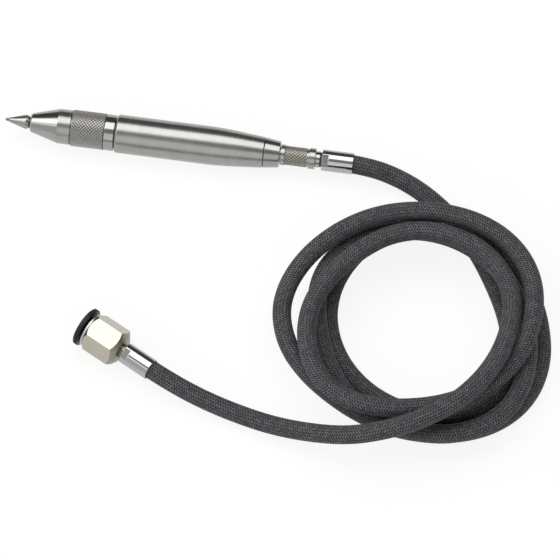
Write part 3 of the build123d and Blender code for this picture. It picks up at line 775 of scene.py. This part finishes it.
def wire_ring(name, place, station, ring, wire):
    """A round seal ring."""
    turns = even_angles(WIRE_STEPS)
    outline = [(station + wire * math.cos(turn), ring + wire * math.sin(turn)) for turn in turns]
    return turned(name, place, lambda angle: outline)


def dressed(mesh, material):
    """A mesh in one material, shaded smooth."""
    mesh.materials.clear()
    mesh.materials.append(material)
    mesh.shade_smooth()
    return mesh


def repainted(mesh, place, material, chosen):
    """A mesh with a second material on the faces chosen by their station, radius and normal."""
    mesh.materials.append(material)
    to_place = place.inverted()
    for face in mesh.polygons:
        spot = to_place @ face.center
        if chosen(spot.x, math.hypot(spot.y, spot.z), face.normal):
            face.material_index = 1
    return mesh


def before(limit):
    """Chooses the faces ahead of a station."""
    return lambda station, radius, normal: station < limit


def beyond(limit):
    """Chooses the faces past a station."""
    return lambda station, radius, normal: station > limit


def add_piece(name, mesh, body, slot, *nodes):
    """A dressed mesh as a piece that rides on a body and stands for CAD nodes."""
    piece = placed(name, mesh)
    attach(piece, body)
    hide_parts(*nodes)
    return piece


def join_meshes(name, meshes):
    """Several dressed meshes as one, each keeping its own materials."""
    shape = bmesh.new()
    joined = bpy.data.meshes.new(name)
    for mesh in meshes:
        first_material, first_face = len(joined.materials), len(shape.faces)
        for material in mesh.materials:
            joined.materials.append(material)
        shape.from_mesh(mesh)
        shape.faces.ensure_lookup_table()
        for face in shape.faces[first_face:]:
            face.material_index += first_material
    shape.to_mesh(joined)
    shape.free()
    return joined


# Teeth and ribs set round a core
TEETH_INPUTS = {
    "Core": "Geometry",
    "Tooth": "Object",
    "Columns": "Int",
    "Rows": "Int",
    "First row": "Float",
    "Row step": "Float",
    "Radius": "Float",
    "Tooth size": "Vector",
    "Centre": "Vector",
    "Heading": "Float",
    "Finish": "Material",
}


def teeth_tree():
    """A tree that sets rows of one tooth round a core, every other row half a tooth on."""
    group = bpy.data.node_groups.new("teeth_round_a_core", "GeometryNodeTree")
    for name, kind in TEETH_INPUTS.items():
        group.interface.new_socket(name, in_out="INPUT", socket_type=f"NodeSocket{kind}")
    group.interface.new_socket("Toothed", in_out="OUTPUT", socket_type="NodeSocketGeometry")
    tree = Tree(group)
    given = tree.node("NodeGroupInput")
    columns = given.out("Columns")
    index = tree.node("GeometryNodeInputIndex")
    column = index % columns
    row = (index - column) / columns
    turn = (column + (row % 2.0) * 0.5) * (2 * math.pi / columns)
    station = given.out("First row") + row * given.out("Row step")
    radius = given.out("Radius")
    spot = {"X": station, "Y": 0 - radius * turn.sine(), "Z": radius * turn.cosine()}
    sockets = {
        "Count": columns * given.out("Rows"),
        "Position": tree.node("ShaderNodeCombineXYZ", spot),
    }
    points = tree.node("GeometryNodePoints", sockets)
    tooth = tree.node("GeometryNodeObjectInfo", {"Object": given.out("Tooth")}, output="Geometry")
    sockets = {
        "Points": points,
        "Instance": tooth,
        "Rotation": tree.node("ShaderNodeCombineXYZ", {"X": turn}),
        "Scale": given.out("Tooth size"),
    }
    teeth = tree.node("GeometryNodeInstanceOnPoints", sockets)
    sockets = {
        "Geometry": teeth,
        "Translation": given.out("Centre"),
        "Rotation": tree.node("ShaderNodeCombineXYZ", {"Z": given.out("Heading")}),
    }
    moved = tree.node("GeometryNodeTransform", sockets)
    joined = tree.node("GeometryNodeJoinGeometry", {"Geometry": [moved, given.out("Core")]})
    real = tree.node("GeometryNodeRealizeInstances", {"Geometry": joined})
    sockets = {"Geometry": real, "Material": given.out("Finish")}
    finished = tree.node("GeometryNodeSetMaterial", sockets)
    tree.node("NodeGroupOutput", {"Toothed": finished})
    return group


def diamond(size, height):
    """Corners of a diamond across the axis."""
    return [(size, 0, height), (0, size, height), (-size, 0, height), (0, -size, height)]


def diamond_steps(name, *diamonds):
    """A tooth through diamonds from its base up and over to its top or its pit."""
    points = [corner for one in diamonds for corner in one]
    faces = [(3, 2, 1, 0)]
    for low in range(0, len(points) - 4, 4):
        faces += [(low + k, low + (k + 1) % 4, low + (k + 1) % 4 + 4, low + k + 4) for k in range(4)]
    top = len(points) - 4
    faces.append((top, top + 1, top + 2, top + 3))
    return placed(name, closed_mesh(name, points, faces))


def round_rib():
    """A half-round bar along x, two units long, two wide and one high."""
    bow = [math.pi * k / RIB_SIDES for k in range(RIB_SIDES + 1)]
    points = [(end, math.cos(turn), math.sin(turn)) for end in (-1, 1) for turn in bow]
    count = len(bow)
    faces = [(k, k + 1, count + k + 1, count + k) for k in range(RIB_SIDES)]
    faces += [(0, count, 2 * count - 1, count - 1), tuple(range(count)), tuple(range(count, 2 * count))]
    return placed("round_rib", closed_mesh("round_rib", points, faces))


def toothed(core, place, turn, material, tooth, size, columns, rows, first_row, row_step, radius):
    """A core mesh with its teeth as one plain mesh, from lengths in millimetres."""
    values = {
        "Tooth": tooth,
        "Columns": columns,
        "Rows": rows,
        "First row": first_row * MM,
        "Row step": row_step * MM,
        "Radius": radius * MM,
        "Tooth size": tuple(side * MM for side in size),
        "Centre": place.translation,
        "Heading": turn,
        "Finish": material,
    }
    holder = placed(core.name, core)
    modifier = holder.modifiers.new("teeth", "NODES")
    modifier.node_group = teeth_group
    for item in teeth_group.interface.items_tree:
        if item.name in values:
            modifier[item.identifier] = values[item.name]
    bpy.context.view_layer.update()
    done = holder.evaluated_get(bpy.context.evaluated_depsgraph_get())
    mesh = bpy.data.meshes.new_from_object(done)
    holder.modifiers.remove(modifier)
    bpy.data.objects.remove(holder)
    return mesh


def trimmed(mesh, place, start, end):
    """Cuts what stands past two stations off a mesh and closes the cuts."""
    shape = bmesh.new()
    shape.from_mesh(mesh)
    along = (place.to_3x3() @ Vector((1, 0, 0))).normalized()
    for station, outwards in ((start, -along), (end, along)):
        parts = shape.verts[:] + shape.edges[:] + shape.faces[:]
        spot = place @ Vector((station, 0, 0))
        cut = bmesh.ops.bisect_plane(
            shape, geom=parts, dist=SLIVER, plane_co=spot, plane_no=outwards, clear_outer=True
        )
        edges = [part for part in cut["geom_cut"] if isinstance(part, bmesh.types.BMEdge)]
        bmesh.ops.holes_fill(shape, edges=edges)
    shape.to_mesh(mesh)
    shape.free()
    return mesh


def knurled(name, tooth, material, start, end, crest, depth, columns, rows):
    """The knurled stretch of a sleeve: teeth on a plain core, cut square at both ends."""
    floor = crest - depth
    outline = stretches((start, end, floor), (end, start, floor - KNURL_CORE))
    core = lathe(name, pen_place, outline)
    step = (end - start) / (rows - 1)
    size = (step, math.pi * crest / columns, depth + OVERLAP)
    teeth = (tooth, size, columns, rows, start, step, floor - OVERLAP)
    mesh = trimmed(toothed(core, pen_place, 0.0, material, *teeth), pen_place, start, end)
    dressed(mesh, material).shade_flat()
    return mesh


teeth_group = teeth_tree()
blunt_tooth = diamond_steps("blunt_tooth", diamond(1, 0), diamond(TOOTH_TOP, 1))
pit_steps = (diamond(1, 0), diamond(1, 1), diamond(PIT_RIM, 1), diamond(PIT_FLOOR, PIT_BOTTOM))
rimmed_pit = diamond_steps("rimmed_pit", *pit_steps)
rib = round_rib()


# Pieces of the pen
def barrel_outline():
    """The barrel's bores and front, then its straight side, the eased taper and the rear edge."""
    length = TAPER_STRAIGHT - TAPER_START
    fall = BARREL_RADIUS - BARREL_BLEND_RADIUS
    shares = [step / TAPER_STEPS for step in range(TAPER_STEPS + 1)]
    outline = [
        (BARREL_ROOM_END, BARREL_REAR_BORE),
        *stretches(
            (BARREL_ROOM_END, BARREL_THREAD_END, BARREL_ROOM_RADIUS),
            (BARREL_THREAD_END, BARREL_START, BARREL_THREAD_BORE),
        ),
        (BARREL_START, BARREL_RADIUS - BARREL_CHAMFER),
        (BARREL_START + BARREL_CHAMFER, BARREL_RADIUS),
    ]
    outline += [(TAPER_START + length * share, BARREL_RADIUS - fall * share**2) for share in shares]
    return outline + [(BARREL_END, BARREL_REAR_RADIUS), (BARREL_END, BARREL_REAR_BORE)]


def make_knurled(name, outline, shaded_from, tooth, material, knurl, body, node):
    """A sleeve with a knurled stretch, and darker steel past a station as painted shade in the seam behind
    it.
    """
    core = dressed(lathe(name, pen_place, outline), pen_steel)
    core = repainted(core, pen_place, shank_steel, beyond(shaded_from))
    mesh = join_meshes(name, [core, knurled(name, tooth, material, **knurl)])
    return add_piece(name, mesh, body, "pen_steel", node)


def flat_angles():
    """Angles round a ferrule, with the edges of its two flats among them."""
    half = math.acos(FLAT_HALF / FERRULE_RADIUS)
    roll = math.radians(FLAT_ROLL)
    angles = []
    for side in (roll, roll + math.pi):
        angles += list(np.linspace(side - half, side + half, FLAT_STEPS, endpoint=False))
        angles += list(np.linspace(side + half, side + math.pi - half, FLAT_GAP_STEPS, endpoint=False))
    return angles


def ferrule_outline(start, angle):
    """A ferrule's outline at an angle: lower over its first stretch where a flat is cut."""
    end = start + FERRULE_LENGTH
    wall_end = start + FERRULE_WALL
    flat_end = start + FLAT_LENGTH
    lean = abs(math.cos(angle - math.radians(FLAT_ROLL)))
    level = FLAT_HALF / lean if lean * FERRULE_RADIUS > FLAT_HALF else FERRULE_RADIUS
    outline = stretches(
        (start, flat_end, level),
        (flat_end + OVERLAP, end, FERRULE_RADIUS),
        (end, wall_end, FERRULE_BORE),
        (wall_end, start, FERRULE_NECK),
    )
    return eased(outline)


def make_ferrule(name, place, start, material, flat_material, node):
    """A bright ferrule with milled flats."""
    roll = math.radians(FLAT_ROLL)
    outwards = (place.to_3x3() @ Vector((0, math.cos(roll), math.sin(roll)))).normalized()

    def on_flat(station, radius, normal):
        return station < start + FLAT_LENGTH and abs(normal.dot(outwards)) > FLAT_FACING

    mesh = turned(name, place, lambda angle: ferrule_outline(start, angle), flat_angles())
    mesh = repainted(dressed(mesh, material), place, flat_material, on_flat)
    return add_piece(name, mesh, "root", "bright_chrome", node)


# Pieces of the connector
HEX_SIDE = math.pi / 3
CORNER_SHARES = [0, 0.008, 0.016, 0.024, 0.032, 0.045, 0.07, 0.12, 0.2, 0.3, 0.4, 0.5]


def hex_radius(angle):
    """Distance from the axis to a hexagon with rounded corners, at an angle."""
    off = (angle - math.radians(HEX_ROLL)) % HEX_SIDE - HEX_SIDE / 2
    rounding_start = math.atan2((HEX_HALF - HEX_CORNER_ROUND) * math.tan(HEX_SIDE / 2), HEX_HALF)
    if abs(off) <= rounding_start:
        return HEX_HALF / math.cos(off)
    centre = (HEX_HALF - HEX_CORNER_ROUND) / math.cos(HEX_SIDE / 2)
    lean = HEX_SIDE / 2 - abs(off)
    reach = HEX_CORNER_ROUND**2 - (centre * math.sin(lean)) ** 2
    return centre * math.cos(lean) + math.sqrt(max(reach, 0.0))


def hex_angles():
    """Angles round the hexagon, closer together at its corners."""
    shares = CORNER_SHARES + [1 - share for share in reversed(CORNER_SHARES[1:-1])]
    roll = math.radians(HEX_ROLL)
    return [roll + (corner + share) * HEX_SIDE for corner in range(6) for share in shares]


def hex_outline(angle):
    """The body's outline at an angle: face, chamfer, flat, coned end and bore."""
    level = hex_radius(angle)
    chamfer_rise = (HEX_CORNER - HEX_FACE_RADIUS) / HEX_CHAMFER
    cone_fall = (HEX_CORNER - CONE_REAR_RADIUS) / (CONNECTOR_END - HEX_END)
    chamfer_end = HEX_START + max(level - HEX_FACE_RADIUS, 0.0) / chamfer_rise
    cone_start = HEX_END + (HEX_CORNER - level) / cone_fall
    outline = [
        (HEX_START, min(level, HEX_FACE_RADIUS) - OVERLAP / 2),
        (chamfer_end + OVERLAP / 2, level),
        (cone_start, level),
        (CONNECTOR_END, CONE_REAR_RADIUS),
        *stretches(
            (CONNECTOR_END, SOCKET_END, THREAD_BORE),
            (SOCKET_END, HEX_START, SOCKET_BORE),
        ),
    ]
    return eased(outline)


def make_hexagon():
    """The body, with milled flats and a turned cone at its rear."""
    axis = (connector_place.to_3x3() @ Vector((1, 0, 0))).normalized()

    def on_cone(station, radius, normal):
        return station > HEX_END and normal.dot(axis) > CONE_FACING

    mesh = dressed(turned("hexagon_body", connector_place, hex_outline, hex_angles()), plated_brass)
    # The cone faces take the darker turned brass, as painted shade
    mesh = repainted(mesh, connector_place, turned_brass, on_cone)
    return add_piece("hexagon_body", mesh, "root", "plated_brass", "connector_body")


def make_band():
    mesh = lathe("bright_band", connector_place, BAND_OUTLINE)
    return add_piece("bright_band", dressed(mesh, end_satin), "root", "bright_chrome", "collet_sleeve")


def make_release():
    """The release ring with fine ribs round its rim."""
    core = lathe("release_button", connector_place, RELEASE_OUTLINE)
    half = RELEASE_THICKNESS / 2
    size = (half - EDGE * EDGE_HOLD, RIB_HALF_WIDTH, RIB_HEIGHT + OVERLAP)
    ribs = (rib, size, RIB_COUNT, 1, half, 0.0, RELEASE_RIM - OVERLAP)
    mesh = toothed(core, connector_place, connector_turn, black_plastic, *ribs)
    mesh = dressed(mesh, black_plastic)
    # Rib crests in the paler plastic: painted highlight, and rub wear
    crest = RELEASE_RIM + RIB_HIGHLIGHT_FROM
    mesh = repainted(mesh, connector_place, rubbed_plastic, lambda station, radius, normal: radius > crest)
    return add_piece("release_button", mesh, "release", "black_plastic", "release_ring")


# Hose
def eased_height(heights, place):
    """A height between listed ones, on a smooth curve through all of them."""
    last = len(heights) - 1
    index = min(int(place), last - 1)
    share = place - index
    behind, start = heights[max(index - 1, 0)], heights[index]
    end, ahead = heights[index + 1], heights[min(index + 2, last)]
    slope_in, slope_out = (end - behind) / 2, (ahead - start) / 2
    bend = 2 * start - 2 * end + slope_in + slope_out
    swing = 3 * end - 3 * start - 2 * slope_in - slope_out
    return start + share * (slope_in + share * (swing + share * bend))


def coil_point(right, away, height):
    turn = math.radians(COIL_ROLL)
    x = COIL_MIDDLE[0] + right * math.cos(turn) - away * math.sin(turn)
    y = COIL_MIDDLE[1] + right * math.sin(turn) + away * math.cos(turn)
    return (x, y, height)


def coil_points():
    """The coil's turns: quarter ellipses from side to side, some pressed in or out half way."""
    heights = [height for side in COIL_SIDES for height in side[2:4]]
    points = []
    for index, (right, away, _, _, outwards) in enumerate(COIL_SIDES[:-1]):
        next_right, next_away = COIL_SIDES[index + 1][:2]
        for step in range(QUARTER_STEPS):
            share = step / QUARTER_STEPS
            rise, run = math.sin(share * math.pi / 2), math.cos(share * math.pi / 2)
            if index % 2 == 0:
                place = (next_right + (right - next_right) * run, away + (next_away - away) * rise)
            else:
                place = (right + (next_right - right) * rise, next_away + (away - next_away) * run)
            stretch = 1 + outwards / math.hypot(*place) * math.sin(math.pi * share) ** 2
            height = eased_height(heights, 2 * (index + share))
            points.append(coil_point(place[0] * stretch, place[1] * stretch, height))
    return points + [coil_point(*COIL_SIDES[-1][:3])]


def hose_line():
    """Points along the hose's middle, read from one NURBS spline over the whole route."""
    route = TAIL_POINTS + coil_points() + LEAD_POINTS
    curve = bpy.data.curves.new("hose_route", "CURVE")
    curve.dimensions = "3D"
    curve.resolution_u = LINE_STEPS
    spline = curve.splines.new("NURBS")
    spline.points.add(len(route) - 1)
    for point, place in zip(spline.points, route):
        point.co = (*(side * MM for side in place), 1)
    spline.order_u = 3
    spline.use_endpoint_u = True
    line = placed("hose_route", curve)
    mesh = bpy.data.meshes.new_from_object(line)
    points = np.array([vertex.co for vertex in mesh.vertices])
    bpy.data.objects.remove(line)
    return points


def even_points(line, step):
    """The same line with its points a step apart."""
    runs = np.linalg.norm(np.diff(line, axis=0), axis=1)
    lengths = np.concatenate([[0.0], np.cumsum(runs)])
    count = int(round(lengths[-1] / step))
    wanted = np.linspace(0.0, lengths[-1], count + 1)
    return np.stack([np.interp(wanted, lengths, line[:, axis]) for axis in range(3)], axis=1)


def steady_sides(middles):
    """Headings along a line, with two cross directions that never spin about it."""
    headings = np.gradient(middles, axis=0)
    headings /= np.linalg.norm(headings, axis=1)[:, None]
    firsts = np.zeros_like(headings)
    side = np.cross(headings[0], (0.0, 0.0, 1.0))
    for index, onward in enumerate(headings):
        side = side - onward * side.dot(onward)
        side /= np.linalg.norm(side)
        firsts[index] = side
    return headings, firsts, np.cross(headings, firsts)


def braid_points(middles, headings, firsts, seconds, step):
    """Rings of the cover that zigzag with the stitches, high on a yarn and low between."""
    rings = len(middles)
    ring = np.arange(rings)[:, None]
    side = np.arange(BRAID_COLUMNS)[None, :]
    fade = np.clip(np.minimum(ring, rings - 1 - ring) * step / (HOSE_PLAIN_END * MM), 0, 1)
    lean = np.where(side % 2 == 0, -1.0, 1.0) * BRAID_LEAN * MM * fade
    crown = 0.5 + 0.5 * np.cos(2 * math.pi * ring / BRAID_ROWS)
    radius = (HOSE_RADIUS - BRAID_RELIEF * (1 - crown) * fade) * MM + 0 * side
    turn = 2 * math.pi * side / BRAID_COLUMNS
    spokes = firsts[:, None, :] * np.cos(turn)[..., None] + seconds[:, None, :] * np.sin(turn)[..., None]
    return middles[:, None, :] + spokes * radius[..., None] + headings[:, None, :] * lean[..., None]


def braid_faces(rings):
    """Faces of the cover, and their corners on a chart of columns round it and stitches along it."""
    ring = np.arange(rings - 1)[:, None]
    side = np.arange(BRAID_COLUMNS)[None, :]
    here = ring * BRAID_COLUMNS + side
    there = ring * BRAID_COLUMNS + (side + 1) % BRAID_COLUMNS
    faces = np.stack([here, there, there + BRAID_COLUMNS, here + BRAID_COLUMNS], axis=-1)
    corners = [(0, 0), (1, 0), (1, 1), (0, 1)]
    spots = [np.broadcast_arrays(side + u, (ring + v) / BRAID_ROWS + 0.5) for u, v in corners]
    chart = np.stack([np.stack(spot, axis=-1) for spot in spots], axis=-2)
    return faces.reshape(-1, 4), chart.reshape(-1)


def bored_ends(rings, middles, headings, firsts, seconds):
    """Points and faces of the ends: a flat face, a bore for the barbs and its floor."""
    turn = 2 * math.pi * np.arange(BRAID_COLUMNS) / BRAID_COLUMNS
    start = rings * BRAID_COLUMNS
    added, faces = [], []
    for ring, inwards in ((0, 1), (rings - 1, -1)):
        spokes = np.outer(np.cos(turn), firsts[ring]) + np.outer(np.sin(turn), seconds[ring])
        mouth = middles[ring] + spokes * HOSE_BORE * MM
        added += [mouth, mouth + headings[ring] * inwards * HOSE_BORE_DEPTH * MM]
        floor = start + BRAID_COLUMNS
        for low, high in ((ring * BRAID_COLUMNS, start), (start, floor)):
            for side in range(BRAID_COLUMNS):
                after = (side + 1) % BRAID_COLUMNS
                quad = (low + side, high + side, high + after, low + after)
                faces.append(quad[::inwards])
        lid = tuple(range(floor, floor + BRAID_COLUMNS))
        faces.append(lid[::-inwards])
        start = floor + BRAID_COLUMNS
    return np.concatenate(added), faces


def make_hose():
    """The braided hose, as a piece and the points along its middle."""
    step = BRAID_PITCH / BRAID_ROWS * MM
    middles = even_points(hose_line(), step)
    sides = steady_sides(middles)
    cover = braid_points(middles, *sides, step)
    faces, chart = braid_faces(len(middles))
    ends, end_faces = bored_ends(len(middles), middles, *sides)
    mesh = bpy.data.meshes.new("braided_hose")
    mesh.from_pydata(np.concatenate([cover.reshape(-1, 3), ends]), [], faces.tolist() + end_faces)
    values = np.full(len(mesh.loops) * 2, 0.5)
    values[: chart.size] = chart
    mesh.uv_layers.new(name="braid").data.foreach_set("uv", values)
    nodes = ("hose_lead", "hose_coil", "hose_tail")
    piece = add_piece("braided_hose", dressed(mesh, hose_yarn), "root", "braided_hose", *nodes)
    return piece, middles[::BRAID_ROWS]


# Camera, light and floor
def make_camera():
    azimuth, elevation = math.radians(VIEW_AZIMUTH), math.radians(VIEW_ELEVATION)
    level = math.cos(elevation)
    back = Vector((math.sin(azimuth) * level, -math.cos(azimuth) * level, math.sin(elevation)))
    lens = bpy.data.cameras.new("camera")
    lens.sensor_width = SENSOR_WIDTH
    lens.lens = SENSOR_WIDTH * VIEW_DISTANCE / FIELD_WIDTH
    camera = placed("camera", lens)
    camera.location = Vector(VIEW_CENTRE) + back * VIEW_DISTANCE
    camera.rotation_euler = (-back).to_track_quat("-Z", "Y").to_euler()
    bpy.context.scene.camera = camera


def make_softbox():
    """One large softbox overhead, a little to the far side and to the left."""
    lamp = bpy.data.lights.new("softbox", "AREA")
    lamp.shape = "RECTANGLE"
    lamp.size, lamp.size_y = SOFTBOX_SIZE
    lamp.energy = SOFTBOX_LEVEL * math.pi * lamp.size * lamp.size_y
    tilt = math.radians(SOFTBOX_TILT)
    over = Vector((0, math.sin(tilt), math.cos(tilt)))
    softbox = placed("softbox", lamp)
    softbox.location = Vector(VIEW_CENTRE) + over * SOFTBOX_DISTANCE + Vector((SOFTBOX_SHIFT, 0, 0))
    aim = (-over).to_track_quat("-Z", "Y").to_matrix()
    softbox.rotation_euler = (aim @ Matrix.Rotation(math.radians(SOFTBOX_TURN), 3, "Z")).to_euler()


def make_room():
    """The studio round the table: pale on the near side, dark on the far side, a light at the left."""
    world = bpy.data.worlds.new("studio")
    world.use_nodes = True
    bpy.context.scene.world = world
    tree = Tree(world.node_tree)
    around = tree.node("ShaderNodeTexCoord", output="Generated")
    apart = tree.node("ShaderNodeSeparateXYZ", {"Vector": around})
    share = apart.out("Z").turn_from(0 - apart.out("Y")) / math.pi
    walls = tree.node("ShaderNodeValToRGB", {0: share}, {"stops": ROOM_LEVELS})
    across = apart.out("X")
    left = (1 - across.between(*LEFT_EDGE)) * (1 - share.between(*LEFT_TOP))
    right = across.between(*RIGHT_EDGE) * RIGHT_WALL
    beside = 1 - across.between(*SIDE_BOX_EDGE)
    side_box = beside * share.between(*SIDE_BOX_FOOT) * (1 - share.between(*SIDE_BOX_TOP))
    level = tree.mix(left, walls, grey(LEFT_LEVEL))
    level = tree.mix(side_box, level, grey(SIDE_BOX_LEVEL))
    level = tree.mix(right, level, grey(0))
    tree.feed(world.node_tree.nodes["Background"].inputs["Color"], level)


def make_floor():
    """A plain white table that keeps the shadow."""
    mesh = bpy.data.meshes.new("floor")
    corners = [(-1, -1), (1, -1), (1, 1), (-1, 1)]
    mesh.from_pydata([(x * FLOOR_HALF, y * FLOOR_HALF, 0) for x, y in corners], [], [(0, 1, 2, 3)])
    matt = {"Roughness": FLOOR_ROUGHNESS, "Specular_IOR_Level": 0.0}
    finish = Finish("floor", Base_Color=grey(FLOOR_SHADE), **matt)
    path = finish.node("ShaderNodeLightPath", output="Is Camera Ray")
    seen = path + path.out("Is Glossy Ray") + path.out("Is Transmission Ray")
    share = seen.between(0.0, 1.0) * FLOOR_GLOW
    glow = finish.node("ShaderNodeEmission", {"Color": grey(1), "Strength": 1.0})
    table = Socket(finish, finish.shader.outputs[0])
    mixed = finish.node("ShaderNodeMixShader", {0: share, 1: table, 2: glow})
    finish.feed(finish.group.nodes["Material Output"].inputs["Surface"], mixed)
    mesh.materials.append(finish.material)
    placed("floor", mesh)


# Turned pieces of the pen: outline, material, body, slot and CAD node
TURNED_PIECES = {
    "carbide_point": (TIP_OUTLINE, carbide, "stylus", "carbide", "carbide_tip"),
    "lock_band": (RING_OUTLINE, polished_steel, "root", "pen_steel", "lock_ring"),
    "barrel_shell": (barrel_outline(), pen_steel, "root", "pen_steel", "barrel"),
    "cap_shell": (CAP_OUTLINE, cap_steel, "root", "pen_steel", "rear_cap"),
    "stop_band": (STOP_OUTLINE, polished_steel, "root", "pen_steel", "stop_ring"),
    "stylus_cone": (STYLUS_OUTLINE, pen_steel, "stylus", "pen_steel", "stylus"),
    "nose_shell": (NOSE_OUTLINE, pen_steel, "root", "pen_steel", "nose_cone"),
}
# Second finishes: painted shade on the stylus's guided shank (darker steel where it shows in the gap before
# the nose), and the nose's cone is polished
SECOND_FINISHES = {
    "stylus_cone": (shank_steel, beyond(STYLUS_END - EDGE)),
    "nose_shell": (polished_steel, before(NOSE_CONE_END)),
}
# Inner pieces that stay as the CAD has them
INNER_FINISHES = {
    "nose_bush": bronze,
    "anvil_bush": bronze,
    "stylus_spring": spring_steel,
    "cylinder_sleeve": inner_steel,
    "piston": inner_steel,
    "back_plate": inner_steel,
    "inlet_stem": inner_steel,
    "grip_ring": inner_steel,
    "throttle_seals": seal_black,
    "tube_seal": seal_black,
    # Painted shade: the pen-side nipple is dark for the gap it shows in
    "hose_nipple": nipple_plate,
    # The end nipple's darker turned brass is painted shade
    "end_nipple": turned_brass,
}

make_camera()
for name, (outline, material, body, slot, node) in TURNED_PIECES.items():
    mesh = dressed(lathe(name, pen_place, outline), material)
    if name in SECOND_FINISHES:
        repainted(mesh, pen_place, *SECOND_FINISHES[name])
    add_piece(name, mesh, body, slot, node)
grip = (GRIP_OUTLINE, GRIP_END, blunt_tooth, grip_steel, GRIP_KNURL)
collar = (COLLAR_OUTLINE, COLLAR_END, rimmed_pit, collar_steel, COLLAR_KNURL)
make_knurled("grip_sleeve", *grip, "root", "knurled_grip")
make_knurled("throttle_sleeve", *collar, "throttle", "throttle_collar")
cap_seal = wire_ring("cap_seal", pen_place, CAP_SEAL, CAP_SEAL_RING, CAP_SEAL_WIRE)
add_piece("cap_seal", dressed(cap_seal, seal_black), "root", "seal_rubber", "rear_cap_o_ring")
on_hose = [
    make_ferrule("pen_crimp", pen_place, FERRULE_START, bright_chrome, pen_milled, "pen_ferrule"),
    make_ferrule("end_crimp", connector_place, END_FERRULE_START, end_chrome, end_milled, "end_ferrule"),
    make_hexagon(),
    make_band(),
    make_release(),
]
for helper in (blunt_tooth, rimmed_pit, rib):
    bpy.data.objects.remove(helper)
for node, material in INNER_FINISHES.items():
    frame["nodes"][node].data.materials.clear()
    frame["nodes"][node].data.materials.append(material)

hose, hose_middle = make_hose()
on_hose += [frame["nodes"][node] for node in ("hose_nipple", "end_nipple", "grip_ring", "tube_seal")]

make_softbox()
make_room()
make_floor()
bpy.context.scene.view_settings.view_transform = "Standard"
